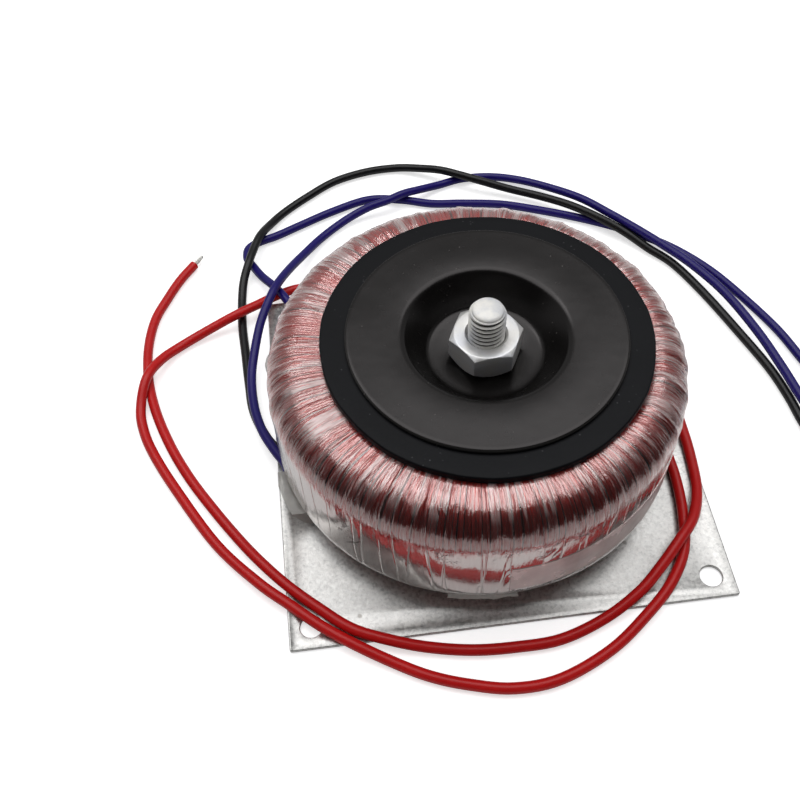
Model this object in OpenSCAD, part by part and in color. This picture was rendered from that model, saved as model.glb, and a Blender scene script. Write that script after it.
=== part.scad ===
// Toroidal mains transformer on a square mounting plate.
// A wound ring lies between two rubber pads. A dished washer and one
// bolt through the middle clamp the ring to the sheet-metal plate.
// Millimetres, +Z up, origin at the middle of the plate's underside.

/* [Mounting plate] */
// side of the square sheet
plate_w = 118; // [116:1:140]
// thickness of the sheet
plate_t = 1.2; // [1:0.1:1.6]
// small radius on the sheared corners
plate_corner_r = 0.6; // [0.2:0.1:2]
// from the edge of the sheet to the middle of a mounting hole
hole_inset = 6; // [5:0.5:9]
// diameter of the mounting holes
hole_d = 6; // [4:0.5:7]
// how far the middle of the sheet is pressed up over the bolt head
boss_rise = 7.3; // [7:0.1:8]
// diameter of the flat top of the pressed-up middle
boss_top_d = 26; // [24:1:28]
// diameter at the foot of the pressed-up middle
boss_foot_d = 42; // [38:1:44]
// bend radius of the pressing
boss_bend_r = 1.5; // [1:0.1:2]

/* [Rubber pads] */
// outside diameter of both pads
pad_d = 85; // [76:1:86]
// thickness of one pad
pad_t = 2.4; // [2:0.1:3]
// diameter of the hole in a pad
pad_hole_d = 48; // [47:1:52]

/* [Wound ring] */
// inside diameter of the strip-wound core
core_bore_d = 62; // [60:1:66]
// outside diameter of the core
core_outer_d = 94; // [90:1:95]
// height of the core
core_h = 28; // [24:1:30]
// radius on the ground corners of the core
core_corner_r = 1; // [0.5:0.1:1.5]
// film wrapped on the core
core_wrap_t = 0.7; // [0.5:0.1:0.9]
// radius of that film over the corners of the core
core_wrap_r = 1.9; // [1.5:0.1:2.5]
// depth of the primary layers on the outside of the ring
primary_out = 2.5; // [2:0.1:3]
// depth of the primary layers in the hole, where turns crowd
primary_in = 4.5; // [4:0.1:5]
// depth of the primary layers on top and underneath
primary_flat = 2.3; // [2:0.1:3]
// radius of the primary over the corners of the ring
primary_r = 5; // [4:0.1:6]
// insulating film between the two windings
barrier_t = 0.5; // [0.4:0.1:0.8]
// radius of that film over the corners of the ring
barrier_r = 5.5; // [4.5:0.1:6.5]
// depth of the secondary layers on the outside of the ring
secondary_out = 2.5; // [2:0.1:3]
// depth of the secondary layers in the hole
secondary_in = 4.3; // [4:0.1:5]
// depth of the secondary layers on top and underneath
secondary_flat = 1.9; // [1.5:0.1:2.5]
// clearance between one layer and the next
layer_clear = 0.1; // [0.1:0.05:0.2]
// groups of side-by-side turns in the primary
primary_groups = 36; // [24:1:40]
// groups of side-by-side turns in the secondary
secondary_groups = 72; // [60:1:80]
// angle left open between two groups
group_gap_a = 0.4; // [0.2:0.1:0.6]
// ring centre from the bolt axis, along X
ring_dx = -2.5; // [-3:0.5:0]
// ring centre from the bolt axis, along Y
ring_dy = -0.5; // [-2:0.5:1]

/* [Outer film] */
// thickness of the film between its overlaps
film_t = 0.25; // [0.2:0.05:0.4]
// extra thickness where the wound film overlaps itself
overlap_t = 0.25; // [0.2:0.05:0.4]
// number of overlap bands round the ring
overlap_bands = 28; // [20:1:32]
// narrowest overlap band, as an angle
overlap_min_a = 3.2; // [2:0.1:4]
// how much wider the widest band is, as an angle
overlap_var_a = 4.6; // [1:0.1:5]
// radius of the film at the outer rims
film_out_r = 9.6; // [8:0.1:11]
// radius of the film at the rims of the hole
film_in_r = 7.6; // [6:0.1:9]
// thickness of the folded end of the film
tab_t = 1.2; // [0.8:0.1:1.6]
// height of the folded end of the film
tab_h = 22; // [16:1:24]
// angle the folded end takes up
tab_a = 13; // [8:1:16]
// height of the bare label strip
strip_h = 10; // [8:1:14]
// how far below the middle of the ring the strip starts
strip_drop = 16; // [12:1:17]
// thickness of the label strip
strip_t = 0.3; // [0.2:0.1:0.5]
// angle the label strip takes up
strip_a = 55; // [30:1:60]

/* [Lead exits] */
// depth of tape over the joints
tape_t = 4.2; // [4.1:0.1:4.6]
// width of the primary tape patch
primary_tape_w = 12; // [11:0.5:16]
// length of the secondary tape patch
secondary_tape_w = 14; // [12:0.5:18]
// diameter of a soldered joint in its sleeve
joint_d = 2.2; // [1.8:0.1:2.4]
// length of a soldered joint
joint_l = 2.5; // [1.5:0.1:2.9]
// clearance round a lead in the tape
lead_clear = 0.1; // [0.05:0.05:0.15]

/* [Dished washer] */
// outside diameter of the washer
dish_d = 72; // [68:1:76]
// sheet thickness of the washer
dish_t = 1.3; // [1:0.1:1.6]
// depth of the recess below the rim
dish_depth = 8.5; // [7.5:0.1:9]
// diameter where the wall of the recess meets its floor
dish_floor_d = 28; // [26:1:29]
// diameter where the wall of the recess meets the rim
dish_mouth_d = 43; // [41:1:43]
// inside radius of the bend at the mouth
dish_mouth_r = 3; // [2:0.1:3]
// inside radius of the bend at the floor
dish_floor_r = 2.5; // [1.5:0.1:3]

/* [Bolt and nut] */
// thread size over the crests
bolt_d = 9.9; // [9.6:0.1:10]
// length under the head
bolt_l = 50; // [45:5:55]
// width across the flats of head and nut
hex_af = 17; // [16:1:18]
// height of the bolt head
bolt_head_h = 6.4; // [6:0.1:6.8]
// height of the nut
nut_h = 8; // [7:0.1:9]
// turn of the nut's first corner from +X
nut_turn = 3; // [0:1:59]
// chamfer at the end of the bolt
bolt_tip_c = 1.2; // [0.8:0.1:1.5]
// clearance between thread and nut, on the radius
thread_clear = 0.05; // [0.05:0.05:0.1]
// diameter of the bolt's holes in the plate and the washer
bolt_hole_d = 10.6; // [10.4:0.1:11]

/* [Leads] */
// diameter of the primary leads over the insulation
red_lead_d = 3; // [2.8:0.1:3]
// diameter of the secondary leads over the insulation
sec_lead_d = 2.8; // [2.6:0.1:2.8]
// length of the tinned end
tip_l = 4.5; // [3:0.5:6]
// diameter of the tinned end
tip_d = 1.5; // [1.2:0.1:1.8]

/* [Hidden] */
$fn = 96;

// stack of levels, from the floor up
ring_z0 = plate_t + pad_t;
// a layer is [inner radius, outer radius, half height, hole rim r, outer rim r]
core_s = [core_bore_d / 2, core_outer_d / 2, core_h / 2, core_corner_r, core_corner_r];
core_wrap_s = grow(core_s, core_wrap_t + layer_clear, core_wrap_t + layer_clear,
    core_wrap_t + layer_clear, core_wrap_r, core_wrap_r);
primary_s = grow(core_wrap_s, primary_in + layer_clear, primary_out + layer_clear,
    primary_flat + layer_clear, primary_r, primary_r);
barrier_s = grow(primary_s, barrier_t + layer_clear, barrier_t + layer_clear,
    barrier_t + layer_clear, barrier_r, barrier_r);
secondary_s = grow(barrier_s, secondary_in + layer_clear, secondary_out + layer_clear,
    secondary_flat + layer_clear, film_in_r - film_t - overlap_t - layer_clear,
    film_out_r - film_t - overlap_t - layer_clear);
film_s = pad_out(secondary_s, film_t + layer_clear);
ring_s = pad_out(film_s, overlap_t);
ring_ro = ring_s[1];
ring_h = 2 * ring_s[2];
ring_zc = ring_z0 + ring_s[2];
ring_z1 = ring_z0 + ring_h;
rim_z = ring_z1 + pad_t;
dish_floor_z = rim_z + dish_t - dish_depth;

// middle of the arc of the lower outer rim, in the section plane
rim_r0 = ring_ro - film_out_r;
rim_z0 = ring_z0 + film_out_r;

// inner and upper limits of the tape patches, clear of the lower pad
tape_in_r = max(rim_r0 + 1.5, pad_d / 2 + norm([ring_dx, ring_dy]) + lead_clear);
tape_top_z = rim_z0 - film_out_r * 0.42;

// lead exits: where each lead leaves its tape patch, and the patch planes
primary_exit_x = 3.5;
secondary_exit_y = -10;
// middles of the joints: inside the ring's widest line and above the plate
primary_joint_y = ring_dy + ring_ro - 1.8;
primary_joint_z = plate_t + 4.1;
secondary_joint_x = ring_dx - ring_ro + 0.9;

// routes of the leads along their centre lines
red_1_route = [
    [-5.5, primary_joint_y, primary_joint_z], [-9.5, primary_joint_y, primary_joint_z],
    [-13, 52.2, 4.9], [-18, 53.8, 4.1], [-27, 57, 3], [-37, 60.8, 2.8], [-47, 62.9, 2.8], [-54, 61.4, 2.9],
    [-61.5, 57, 4], [-68.5, 52.9, 4.8], [-76, 50.2, 3.2], [-86, 45.4, 1.8],
    [-92.5, 39, 3.4], [-96.4, 31.2, 4.9], [-98.4, 22.5, 2.3], [-97.6, 15, 1.6],
    [-94.5, 6, 1.6], [-88, -7, 1.6], [-77, -26, 1.6], [-66, -39.5, 2.7],
    [-58, -47, 2.8], [-50.8, -53.6, 2.8], [-43.2, -59.4, 2.8], [-33.5, -65.4, 1.8],
    [-24.6, -70.3, 1.6], [-15, -73.8, 1.6], [-4, -76.2, 1.6], [8, -75.3, 1.6],
    [22, -69.6, 1.8], [33, -62, 2.8], [41.3, -54.5, 2.8], [47.4, -45.6, 2.8],
    [50.3, -35, 2.8], [51.6, -24, 2.8], [51.6, -13, 2.8], [52.4, -2, 2.8],
    [52.4, 10, 2.8], [49.6, 23, 2.8]];
red_2_route = [
    [0.5, primary_joint_y, primary_joint_z], [4.5, primary_joint_y, primary_joint_z],
    [8, 51.9, 5], [14, 51.9, 4], [22.5, 50.8, 3.2], [32.5, 47.5, 2.8], [42.5, 41, 2.8], [50.5, 31.5, 2.8],
    [56, 20, 2.8], [58, 6, 2.8], [58.2, -8, 2.8], [57.7, -18, 2.8],
    [55.9, -28.6, 3.8], [51.8, -37.6, 5.5], [46, -44, 6.1], [39.5, -50.3, 5.4],
    [32.5, -56, 4], [22.3, -61.3, 2.1], [10, -65.2, 1.6], [-2, -65.7, 1.6],
    [-13, -65, 1.6], [-24, -62.8, 1.8], [-33.4, -60, 2.8], [-42.5, -55.8, 2.9],
    [-50.3, -49.2, 2.8], [-58.2, -41.6, 2.8], [-65, -33.5, 2.4], [-71, -25, 1.6],
    [-78, -14.2, 1.6], [-84.5, -3, 1.6], [-90, 9, 1.6], [-94.3, 22, 1.6],
    [-96.5, 34, 1.6], [-96.7, 46, 1.6], [-94.8, 57, 1.6], [-91, 65.5, 1.6],
    [-86.8, 73.3, 1.6], [-82.2, 79.6, 1.6]];
blue_1_route = [
    [secondary_joint_x + 5, -13, 3.2], [secondary_joint_x + 5, -9.5, 3.2], [-51.1, -6, 3], [-51.6, 0, 2.8],
    [-51, 9, 2.8], [-49, 19, 2.8], [-47, 29, 3], [-47.2, 39, 4],
    [-49.7, 49, 5.6], [-53, 56.5, 6.6], [-56.5, 63, 5.6], [-60, 70, 2.8],
    [-63, 76.5, 1.5], [-64.6, 80.3, 1.5], [-64, 84.3, 1.5], [-60.6, 86.9, 1.5],
    [-54.2, 89.1, 1.5], [-46.2, 92.8, 1.5], [-34, 98.2, 1.5], [-21.4, 102, 1.5],
    [-10, 100.2, 1.5], [0, 96.8, 1.5], [11, 95.3, 1.5], [24, 92.8, 1.5],
    [37, 87.8, 1.5], [49, 82.4, 1.5], [59, 77, 1.5], [68, 71, 1.5],
    [77, 63.2, 1.5], [85.5, 52.3, 1.5], [92.5, 39, 1.5], [98.5, 25, 1.5],
    [102.5, 11, 1.5], [107.5, -1, 1.5], [115.5, -10, 1.5], [126.5, -13.5, 1.5],
    [137.5, -10, 1.5], [145, -1, 1.5], [147, 12, 1.5]];
blue_2_route = [
    [secondary_joint_x, -13, 6.9], [secondary_joint_x, -9.5, 6.9], [-56.4, -6, 6.7], [-59.2, -0.5, 6],
    [-62.5, 7.5, 5.1], [-64.5, 17, 4.5], [-64.8, 28, 4.5], [-63, 38.5, 5.8],
    [-60.8, 46.1, 7.8], [-58, 52.5, 9.3], [-55.2, 58.8, 9.5], [-51, 67.5, 7],
    [-45.5, 77, 3.8], [-38.8, 86, 1.8], [-30.6, 92.5, 2], [-22.5, 95.8, 3.6],
    [-15.5, 97.3, 4.6], [-9.5, 99.8, 4.7], [-3, 102.5, 3.4], [4, 105.6, 1.7],
    [12, 107.7, 1.5], [22, 107.3, 1.5], [32, 103.8, 1.8], [42, 96.5, 3.2],
    [50.5, 88.8, 4.4], [57.5, 80.8, 4.7], [65, 71.8, 4.8], [72, 62.8, 4.8],
    [79, 52.6, 4.8], [85.5, 39.8, 4.7], [90.5, 23.5, 4.5], [93.3, 9, 4.4],
    [95.2, -3, 4.2], [99, -14.5, 2.5], [107.5, -22.5, 1.5], [119, -25.5, 1.5],
    [131, -24, 1.5], [141, -18, 1.5], [147, -9, 1.5]];
black_route = [
    [secondary_joint_x + 2.3, -13, 4.9], [secondary_joint_x + 2.3, -9.5, 4.9],
    [-54.1, -6, 4.6], [-57, -1, 3.8], [-61.4, 6.5, 2.2], [-65, 17, 1.5],
    [-66, 28, 1.5], [-66.6, 39, 1.5], [-67.2, 50, 1.5], [-67, 60.5, 1.6],
    [-66, 68.5, 2.9], [-64, 74.8, 4.4], [-62, 81, 4.6], [-59.6, 87, 4.5],
    [-56, 94, 2.4], [-50.5, 100.5, 1.5], [-42, 107, 1.5], [-32.5, 113, 1.5],
    [-21, 116.3, 1.5], [-10, 116.8, 1.5], [-1.5, 113.8, 2.8], [5, 110.2, 4.3],
    [11, 106.5, 4.7], [18, 102.6, 4.4], [27, 98.6, 3.2], [37.5, 93, 3.2],
    [46, 86.3, 4.3], [54, 79, 4.5], [61.5, 72.3, 3.2], [68, 65, 1.8],
    [74.4, 57, 1.5], [80.5, 43, 1.5], [86.5, 25.5, 1.5], [91, 11, 1.5],
    [93, 0, 1.5], [94.3, -11.5, 1.5], [98.5, -22, 1.5], [106.5, -31, 1.5],
    [119, -36, 1.5]];

// a layer grown inward, outward and both ways in height, with new rim radii
function grow(s, inward, outward, upward, r_in, r_out) =
    [s[0] - inward, s[1] + outward, s[2] + upward, r_in, r_out];
// a layer grown by the same amount everywhere
function pad_out(s, t) = [s[0] - t, s[1] + t, s[2] + t, s[3] + t, s[4] + t];

function unit(v) = v / norm(v);
// points of an arc about m from angle a0 to a1, in n steps
function arc(m, r, a0, a1, n) =
    [for (k = [0:n]) m + r * [cos(a0 + (a1 - a0) * k / n), sin(a0 + (a1 - a0) * k / n)]];
// corner b between a and c, replaced by a tangent arc
function round_corner(a, b, c, r, n = 8) =
    let (u = unit(a - b), v = unit(c - b), half = acos(u * v) / 2,
         m = b + unit(u + v) * r / sin(half),
         s = b + u * r / tan(half) - m, e = b + v * r / tan(half) - m,
         a0 = atan2(s[1], s[0]), turn = (atan2(e[1], e[0]) - a0 + 900) % 360 - 180)
    arc(m, r, a0, a0 + turn, n);
// shift of a bend of a sheet between its two faces
function bend_shift(t, a) = t * tan(a / 2);

// closed section of one layer of the ring, in the plane r, z
module layer_section(s) {
    translate([s[0] + s[3], -s[2]]) square([s[1] - s[4] - s[0] - s[3], 2 * s[2]]);
    translate([s[0], -s[2] + s[3]]) square([s[3], 2 * (s[2] - s[3])]);
    translate([s[1] - s[4], -s[2] + s[4]]) square([s[4], 2 * (s[2] - s[4])]);
    for (z = [-1, 1]) {
        translate([s[0] + s[3], z * (s[2] - s[3])]) circle(s[3]);
        translate([s[1] - s[4], z * (s[2] - s[4])]) circle(s[4]);
    }
}

// the same section with its rims as short chords, for parts repeated often
module layer_polygon(s, n = 5) {
    polygon(concat(
        arc([s[1] - s[4], -s[2] + s[4]], s[4], -90, 0, n),
        arc([s[1] - s[4], s[2] - s[4]], s[4], 0, 90, n),
        arc([s[0] + s[3], s[2] - s[3]], s[3], 90, 180, n),
        arc([s[0] + s[3], -s[2] + s[3]], s[3], 180, 270, n)));
}

// closed loop of material from layer s_in out to layer s_out
module loop_section(s_in, s_out) {
    difference() {
        layer_section(s_out);
        layer_section(s_in);
    }
}

module at_ring() {
    translate([ring_dx, ring_dy, ring_zc]) children();
}

// turns in groups: each group is a loop round the section of the ring
module turn_groups(s_in, s_out, count) {
    for (i = [0:count - 1])
        rotate([0, 0, i * 360 / count])
            rotate_extrude(angle = 360 / count - group_gap_a)
                difference() {
                    layer_polygon(s_out);
                    layer_polygon(s_in);
                }
}

// sheet with four holes and a pressed-up middle that houses the bolt head
module base_plate() {
    foot = boss_foot_d / 2;
    top = boss_top_d / 2;
    join = foot + 3;
    slope = atan2(boss_rise, foot - top);
    shift = bend_shift(plate_t, slope);
    outer_foot = round_corner([join, plate_t], [foot, plate_t],
        [top, boss_rise + plate_t], boss_bend_r);
    outer_top = round_corner([foot, plate_t], [top, boss_rise + plate_t],
        [0, boss_rise + plate_t], boss_bend_r + plate_t);
    inner_top = round_corner([0, boss_rise], [top - shift, boss_rise],
        [foot - shift, 0], boss_bend_r);
    inner_foot = round_corner([top - shift, boss_rise], [foot - shift, 0],
        [join, 0], boss_bend_r + plate_t);
    color([0.78, 0.79, 0.8])
    union() {
        linear_extrude(plate_t) difference() {
            square(plate_w, center = true);
            circle(join - 1);
            for (x = [-1, 1], y = [-1, 1])
                translate([x, y] * (plate_w / 2 - hole_inset)) circle(d = hole_d);
            for (a = [0:90:270]) rotate(a)
                translate([1, 1] * (plate_w / 2 - plate_corner_r)) difference() {
                    square(plate_corner_r + 1);
                    circle(plate_corner_r);
                }
        }
        rotate_extrude() polygon(concat(
            [[join, 0], [join, plate_t]], outer_foot, outer_top,
            [[bolt_hole_d / 2, boss_rise + plate_t], [bolt_hole_d / 2, boss_rise]],
            inner_top, inner_foot));
    }
}

module pad() {
    rotate_extrude() difference() {
        translate([pad_hole_d / 2, 0]) square([(pad_d - pad_hole_d) / 2, pad_t]);
        for (z = [0, pad_t]) translate([pad_d / 2, z]) rotate(45) square(0.5, center = true);
    }
}

module lower_pad() {
    color([0.13, 0.13, 0.14]) translate([0, 0, plate_t]) pad();
}

module upper_pad() {
    color([0.13, 0.13, 0.14]) translate([0, 0, ring_z1]) pad();
}

module core() {
    color([0.5, 0.52, 0.55]) at_ring()
        rotate_extrude() layer_section(core_s);
}

module core_insulation() {
    color([0.85, 0.8, 0.55]) at_ring()
        rotate_extrude() loop_section(pad_out(core_s, layer_clear), core_wrap_s);
}

module primary_winding() {
    color([0.62, 0.26, 0.12]) at_ring()
        turn_groups(pad_out(core_wrap_s, layer_clear), primary_s, primary_groups);
}

module winding_insulation() {
    color([0.9, 0.85, 0.6]) at_ring()
        rotate_extrude() loop_section(pad_out(primary_s, layer_clear), barrier_s);
}

module secondary_winding() {
    color([0.58, 0.1, 0.07]) at_ring()
        turn_groups(pad_out(barrier_s, layer_clear), secondary_s, secondary_groups);
}

// film wound round the section of the ring, thicker where it overlaps
module outer_film() {
    half_in = pad_out(secondary_s, layer_clear + film_t / 2);
    color([0.85, 0.86, 0.86, 0.35]) at_ring() union() {
        rotate_extrude() loop_section(pad_out(secondary_s, layer_clear), film_s);
        for (i = [0:overlap_bands - 1])
            rotate([0, 0, i * 360 / overlap_bands + 2 * sin(i * 137)])
                rotate_extrude(angle = overlap_min_a
                        + overlap_var_a * (0.5 + 0.5 * sin(i * 97)))
                    loop_section(half_in, ring_s);
    }
}

// what lies just outside the ring, from height z0 to z1 and over angle a
module on_ring(t, z0, z1, a_start, a) {
    at_ring() rotate([0, 0, a_start]) rotate_extrude(angle = a) intersection() {
        loop_section(ring_s, pad_out(ring_s, t));
        translate([rim_r0, z0 - ring_zc]) square([ring_ro, z1 - z0]);
    }
}

module film_end_tab() {
    color([0.8, 0.8, 0.78])
        on_ring(tab_t, ring_zc - tab_h / 2, ring_zc + tab_h / 2, 165, tab_a);
}

module label_strip() {
    color([0.86, 0.72, 0.7])
        on_ring(strip_t, ring_zc - strip_drop, ring_zc - strip_drop + strip_h, -75, strip_a);
}

// tape pressed round the joints under the lower outer rim
module tape_ring() {
    translate([ring_dx, ring_dy, 0]) rotate_extrude() intersection() {
        translate([rim_r0, rim_z0]) difference() {
            circle(film_out_r + tape_t);
            circle(film_out_r);
        }
        translate([tape_in_r, plate_t]) square([ring_ro, tape_top_z - plate_t]);
    }
}

module lead_bore(start, dir, d, l) {
    translate(start) rotate(dir) cylinder(d = d, h = l);
}

// primary joints lie along X, a lead at each end of the patch
module primary_tape() {
    mid = primary_exit_x - primary_tape_w / 2;
    y = red_1_route[0][1];
    z = red_1_route[0][2];
    color([0.82, 0.66, 0.3]) difference() {
        intersection() {
            tape_ring();
            translate([mid - primary_tape_w / 2, 0, 0])
                cube([primary_tape_w, plate_w, ring_h]);
        }
        for (x = primary_joint_x)
            lead_bore([x, y, z], [0, 90, 0], joint_d, joint_l);
        for (route = [red_1_route, red_2_route]) {
            out = route[1][0] > route[0][0] ? 1 : -1;
            lead_bore(route[0] - [out * lead_clear, 0, 0], [0, 90 * out, 0],
                red_lead_d + 2 * lead_clear, 10);
        }
    }
}

// where each primary joint starts along X, just behind the end of its lead
primary_joint_x = [red_1_route[0][0] + lead_clear, red_2_route[0][0] - lead_clear - joint_l];

module primary_joints() {
    y = red_1_route[0][1];
    z = red_1_route[0][2];
    color([0.75, 0.75, 0.72])
        for (x = primary_joint_x)
            lead_bore([x, y, z], [0, 90, 0], joint_d, joint_l);
}

// secondary joints lie along Y, all three leads leave the same end
module secondary_tape() {
    color([0.82, 0.66, 0.3]) difference() {
        intersection() {
            tape_ring();
            translate([0.5 - plate_w / 2, secondary_exit_y - secondary_tape_w, 0])
                cube([plate_w / 2, secondary_tape_w, ring_h]);
        }
        for (route = [blue_1_route, blue_2_route, black_route]) {
            lead_bore(secondary_joint_at(route), [-90, 0, 0], sec_lead_d + 2 * lead_clear, 10);
            lead_bore(secondary_joint_at(route), [90, 0, 0], joint_d, joint_l);
        }
    }
}

// where a secondary joint starts, just behind the end of its lead
function secondary_joint_at(route) = route[0] - [0, lead_clear, 0];

module secondary_joints() {
    color([0.75, 0.75, 0.72])
        for (route = [blue_1_route, blue_2_route, black_route])
            lead_bore(secondary_joint_at(route), [90, 0, 0], joint_d, joint_l);
}

// pressed dish with rounded bends, its rim on the upper pad
module dished_washer() {
    mouth = dish_mouth_d / 2;
    floor_r = dish_floor_d / 2;
    top = rim_z + dish_t;
    slope = atan2(dish_depth, mouth - floor_r);
    shift = bend_shift(dish_t, slope);
    edge = dish_d / 2 - dish_t / 2;
    upper = concat(
        round_corner([edge, top], [mouth, top], [floor_r, dish_floor_z],
            dish_mouth_r + dish_t),
        round_corner([mouth, top], [floor_r, dish_floor_z], [0, dish_floor_z],
            dish_floor_r));
    lower = concat(
        round_corner([0, dish_floor_z - dish_t], [floor_r + shift, dish_floor_z - dish_t],
            [mouth + shift, rim_z], dish_floor_r + dish_t),
        round_corner([floor_r + shift, dish_floor_z - dish_t], [mouth + shift, rim_z],
            [edge, rim_z], dish_mouth_r));
    color([0.33, 0.32, 0.31])
        rotate_extrude() {
            polygon(concat([[edge, top]], upper,
                [[bolt_hole_d / 2, dish_floor_z], [bolt_hole_d / 2, dish_floor_z - dish_t]],
                lower, [[edge, rim_z]]));
            translate([edge, rim_z + dish_t / 2]) circle(dish_t / 2);
        }
}

// hexagon with its corners turned down by a cone, on one or both faces
module hexagon(h, both) {
    corner = hex_af / 2 / cos(30);
    c = (corner - hex_af / 2) * 0.9;
    intersection() {
        cylinder(r = corner, h = h, $fn = 6);
        rotate_extrude() polygon([[0, 0], [both ? corner - 2 * c : corner, 0],
            [corner, both ? c : 0], [corner, h - c], [corner - 2 * c, h], [0, h]]);
    }
}

module centre_bolt() {
    color([0.8, 0.81, 0.82]) union() {
        translate([0, 0, boss_rise]) rotate([180, 0, 0]) hexagon(bolt_head_h, false);
        rotate_extrude() translate([0, boss_rise - 1]) polygon([[0, 0], [bolt_d / 2, 0],
            [bolt_d / 2, bolt_l + 1 - bolt_tip_c], [bolt_d / 2 - bolt_tip_c, bolt_l + 1],
            [0, bolt_l + 1]]);
    }
}

module hex_nut() {
    color([0.82, 0.83, 0.84]) translate([0, 0, dish_floor_z]) difference() {
        rotate([0, 0, nut_turn]) hexagon(nut_h, true);
        translate([0, 0, -1]) cylinder(d = bolt_d + 2 * thread_clear, h = nut_h + 2);
    }
}

// smooth curve through the points of a route, two steps to a span
function pick(p, i) = i < 0 ? 2 * p[0] - p[1]
    : i > len(p) - 1 ? 2 * p[len(p) - 1] - p[len(p) - 2] : p[i];
function spline_at(a, b, c, d, t) = 0.5 * (2 * b + (c - a) * t
    + (2 * a - 5 * b + 4 * c - d) * t * t + (3 * b - a - 3 * c + d) * t * t * t);
function curve(p) = concat([for (i = [0:len(p) - 2], t = [0, 0.5])
    spline_at(pick(p, i - 1), p[i], p[i + 1], pick(p, i + 2), t)], [p[len(p) - 1]]);
function heading(q, i) = unit(pick(q, i + 1) - pick(q, i - 1));

// round cord swept along a route: rings of eight points joined by quads
module cord(route, d) {
    q = curve(route);
    n = len(q);
    rings = [for (i = [0:n - 1])
        let (h = heading(q, i), side = unit(cross([0, 0, 1], h)), up = cross(h, side))
        for (k = [0:7]) q[i] + d / 2 * (side * cos(k * 45) + up * sin(k * 45))];
    skin = [for (i = [0:n - 2], k = [0:7])
        [i * 8 + k, (i + 1) * 8 + k, (i + 1) * 8 + (k + 1) % 8, i * 8 + (k + 1) % 8]];
    polyhedron(rings, concat(skin, [[for (k = [0:7]) k]],
        [[for (k = [7:-1:0]) (n - 1) * 8 + k]]), convexity = 10);
}

// tinned strands that stick out of the end of a cord
module tip(route) {
    q = curve(route);
    end = q[len(q) - 1];
    h = heading(q, len(q) - 1);
    translate(end) rotate([0, acos(h[2]), atan2(h[1], h[0])]) cylinder(d = tip_d, h = tip_l);
}

module red_lead_1() { color([0.8, 0.12, 0.1]) cord(red_1_route, red_lead_d); }
module red_lead_2() { color([0.8, 0.12, 0.1]) cord(red_2_route, red_lead_d); }
module blue_lead_1() { color([0.16, 0.12, 0.5]) cord(blue_1_route, sec_lead_d); }
module blue_lead_2() { color([0.16, 0.12, 0.5]) cord(blue_2_route, sec_lead_d); }
module black_lead() { color([0.06, 0.06, 0.07]) cord(black_route, sec_lead_d); }
module red_tip_1() { color([0.8, 0.8, 0.78]) tip(red_1_route); }
module red_tip_2() { color([0.8, 0.8, 0.78]) tip(red_2_route); }
module blue_tip_1() { color([0.8, 0.8, 0.78]) tip(blue_1_route); }
module blue_tip_2() { color([0.8, 0.8, 0.78]) tip(blue_2_route); }
module black_tip() { color([0.8, 0.8, 0.78]) tip(black_route); }

base_plate();
lower_pad();
core();
core_insulation();
primary_winding();
winding_insulation();
secondary_winding();
outer_film();
film_end_tab();
label_strip();
primary_tape();
secondary_tape();
primary_joints();
secondary_joints();
upper_pad();
dished_washer();
centre_bolt();
hex_nut();
red_lead_1();
red_lead_2();
blue_lead_1();
blue_lead_2();
black_lead();
red_tip_1();
red_tip_2();
blue_tip_1();
blue_tip_2();
black_tip();
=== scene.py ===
"""Visual model of a toroidal mains transformer on its mounting plate.

The wound ring, its clear film, the pads, the dished washer, the bolt and nut
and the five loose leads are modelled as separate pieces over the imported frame.
Lengths in the dataclass fields are millimetres, unless they say otherwise, and
angles are degrees. Meshes are built in metres. The scale of a shader pattern is
the number of its cells in a metre.
"""

import logging
import math
from contextlib import contextmanager
from dataclasses import dataclass, field
from enum import Enum
from typing import Callable, Iterable, Iterator, Sequence

import bpy
import numpy as np
from mathutils import Matrix, Vector, noise


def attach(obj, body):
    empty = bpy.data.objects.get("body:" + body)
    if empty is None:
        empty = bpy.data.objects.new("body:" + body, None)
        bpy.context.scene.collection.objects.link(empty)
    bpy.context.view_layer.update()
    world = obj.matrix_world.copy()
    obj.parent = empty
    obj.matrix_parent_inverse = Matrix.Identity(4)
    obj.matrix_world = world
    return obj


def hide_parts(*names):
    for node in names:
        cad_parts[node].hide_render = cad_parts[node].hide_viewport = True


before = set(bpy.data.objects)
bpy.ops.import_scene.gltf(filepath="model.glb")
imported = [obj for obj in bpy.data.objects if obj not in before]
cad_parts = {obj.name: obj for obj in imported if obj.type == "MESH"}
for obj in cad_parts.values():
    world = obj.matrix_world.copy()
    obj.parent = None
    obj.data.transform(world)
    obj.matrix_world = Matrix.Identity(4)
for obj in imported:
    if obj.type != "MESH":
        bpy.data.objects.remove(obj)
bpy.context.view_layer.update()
LOG = logging.getLogger("transformer")

MM = 0.001
BODY = "root"

Point = tuple[float, float, float]
Flat = tuple[float, float]
Piece = bpy.types.Object
Material = bpy.types.Material
Tree = bpy.types.NodeTree
Socket = bpy.types.NodeSocket
Points = np.ndarray
Move = Callable[[Points], Points]


# ---------------------------------------------------------------- shader maths


def maths(operation: str, reflected: bool = False) -> Callable[..., "Val"]:
    """Makes a method of Val that adds one Math node.

    Args:
        operation: The node's operation.
        reflected: Whether the value itself is the last input.

    Returns:
        The method.
    """

    def method(value: "Val", *others: "Val | float") -> "Val":
        """Adds the node to the value's tree."""
        inputs = (*others, value) if reflected else (value, *others)
        return value.math(operation, *inputs)

    return method


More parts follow.
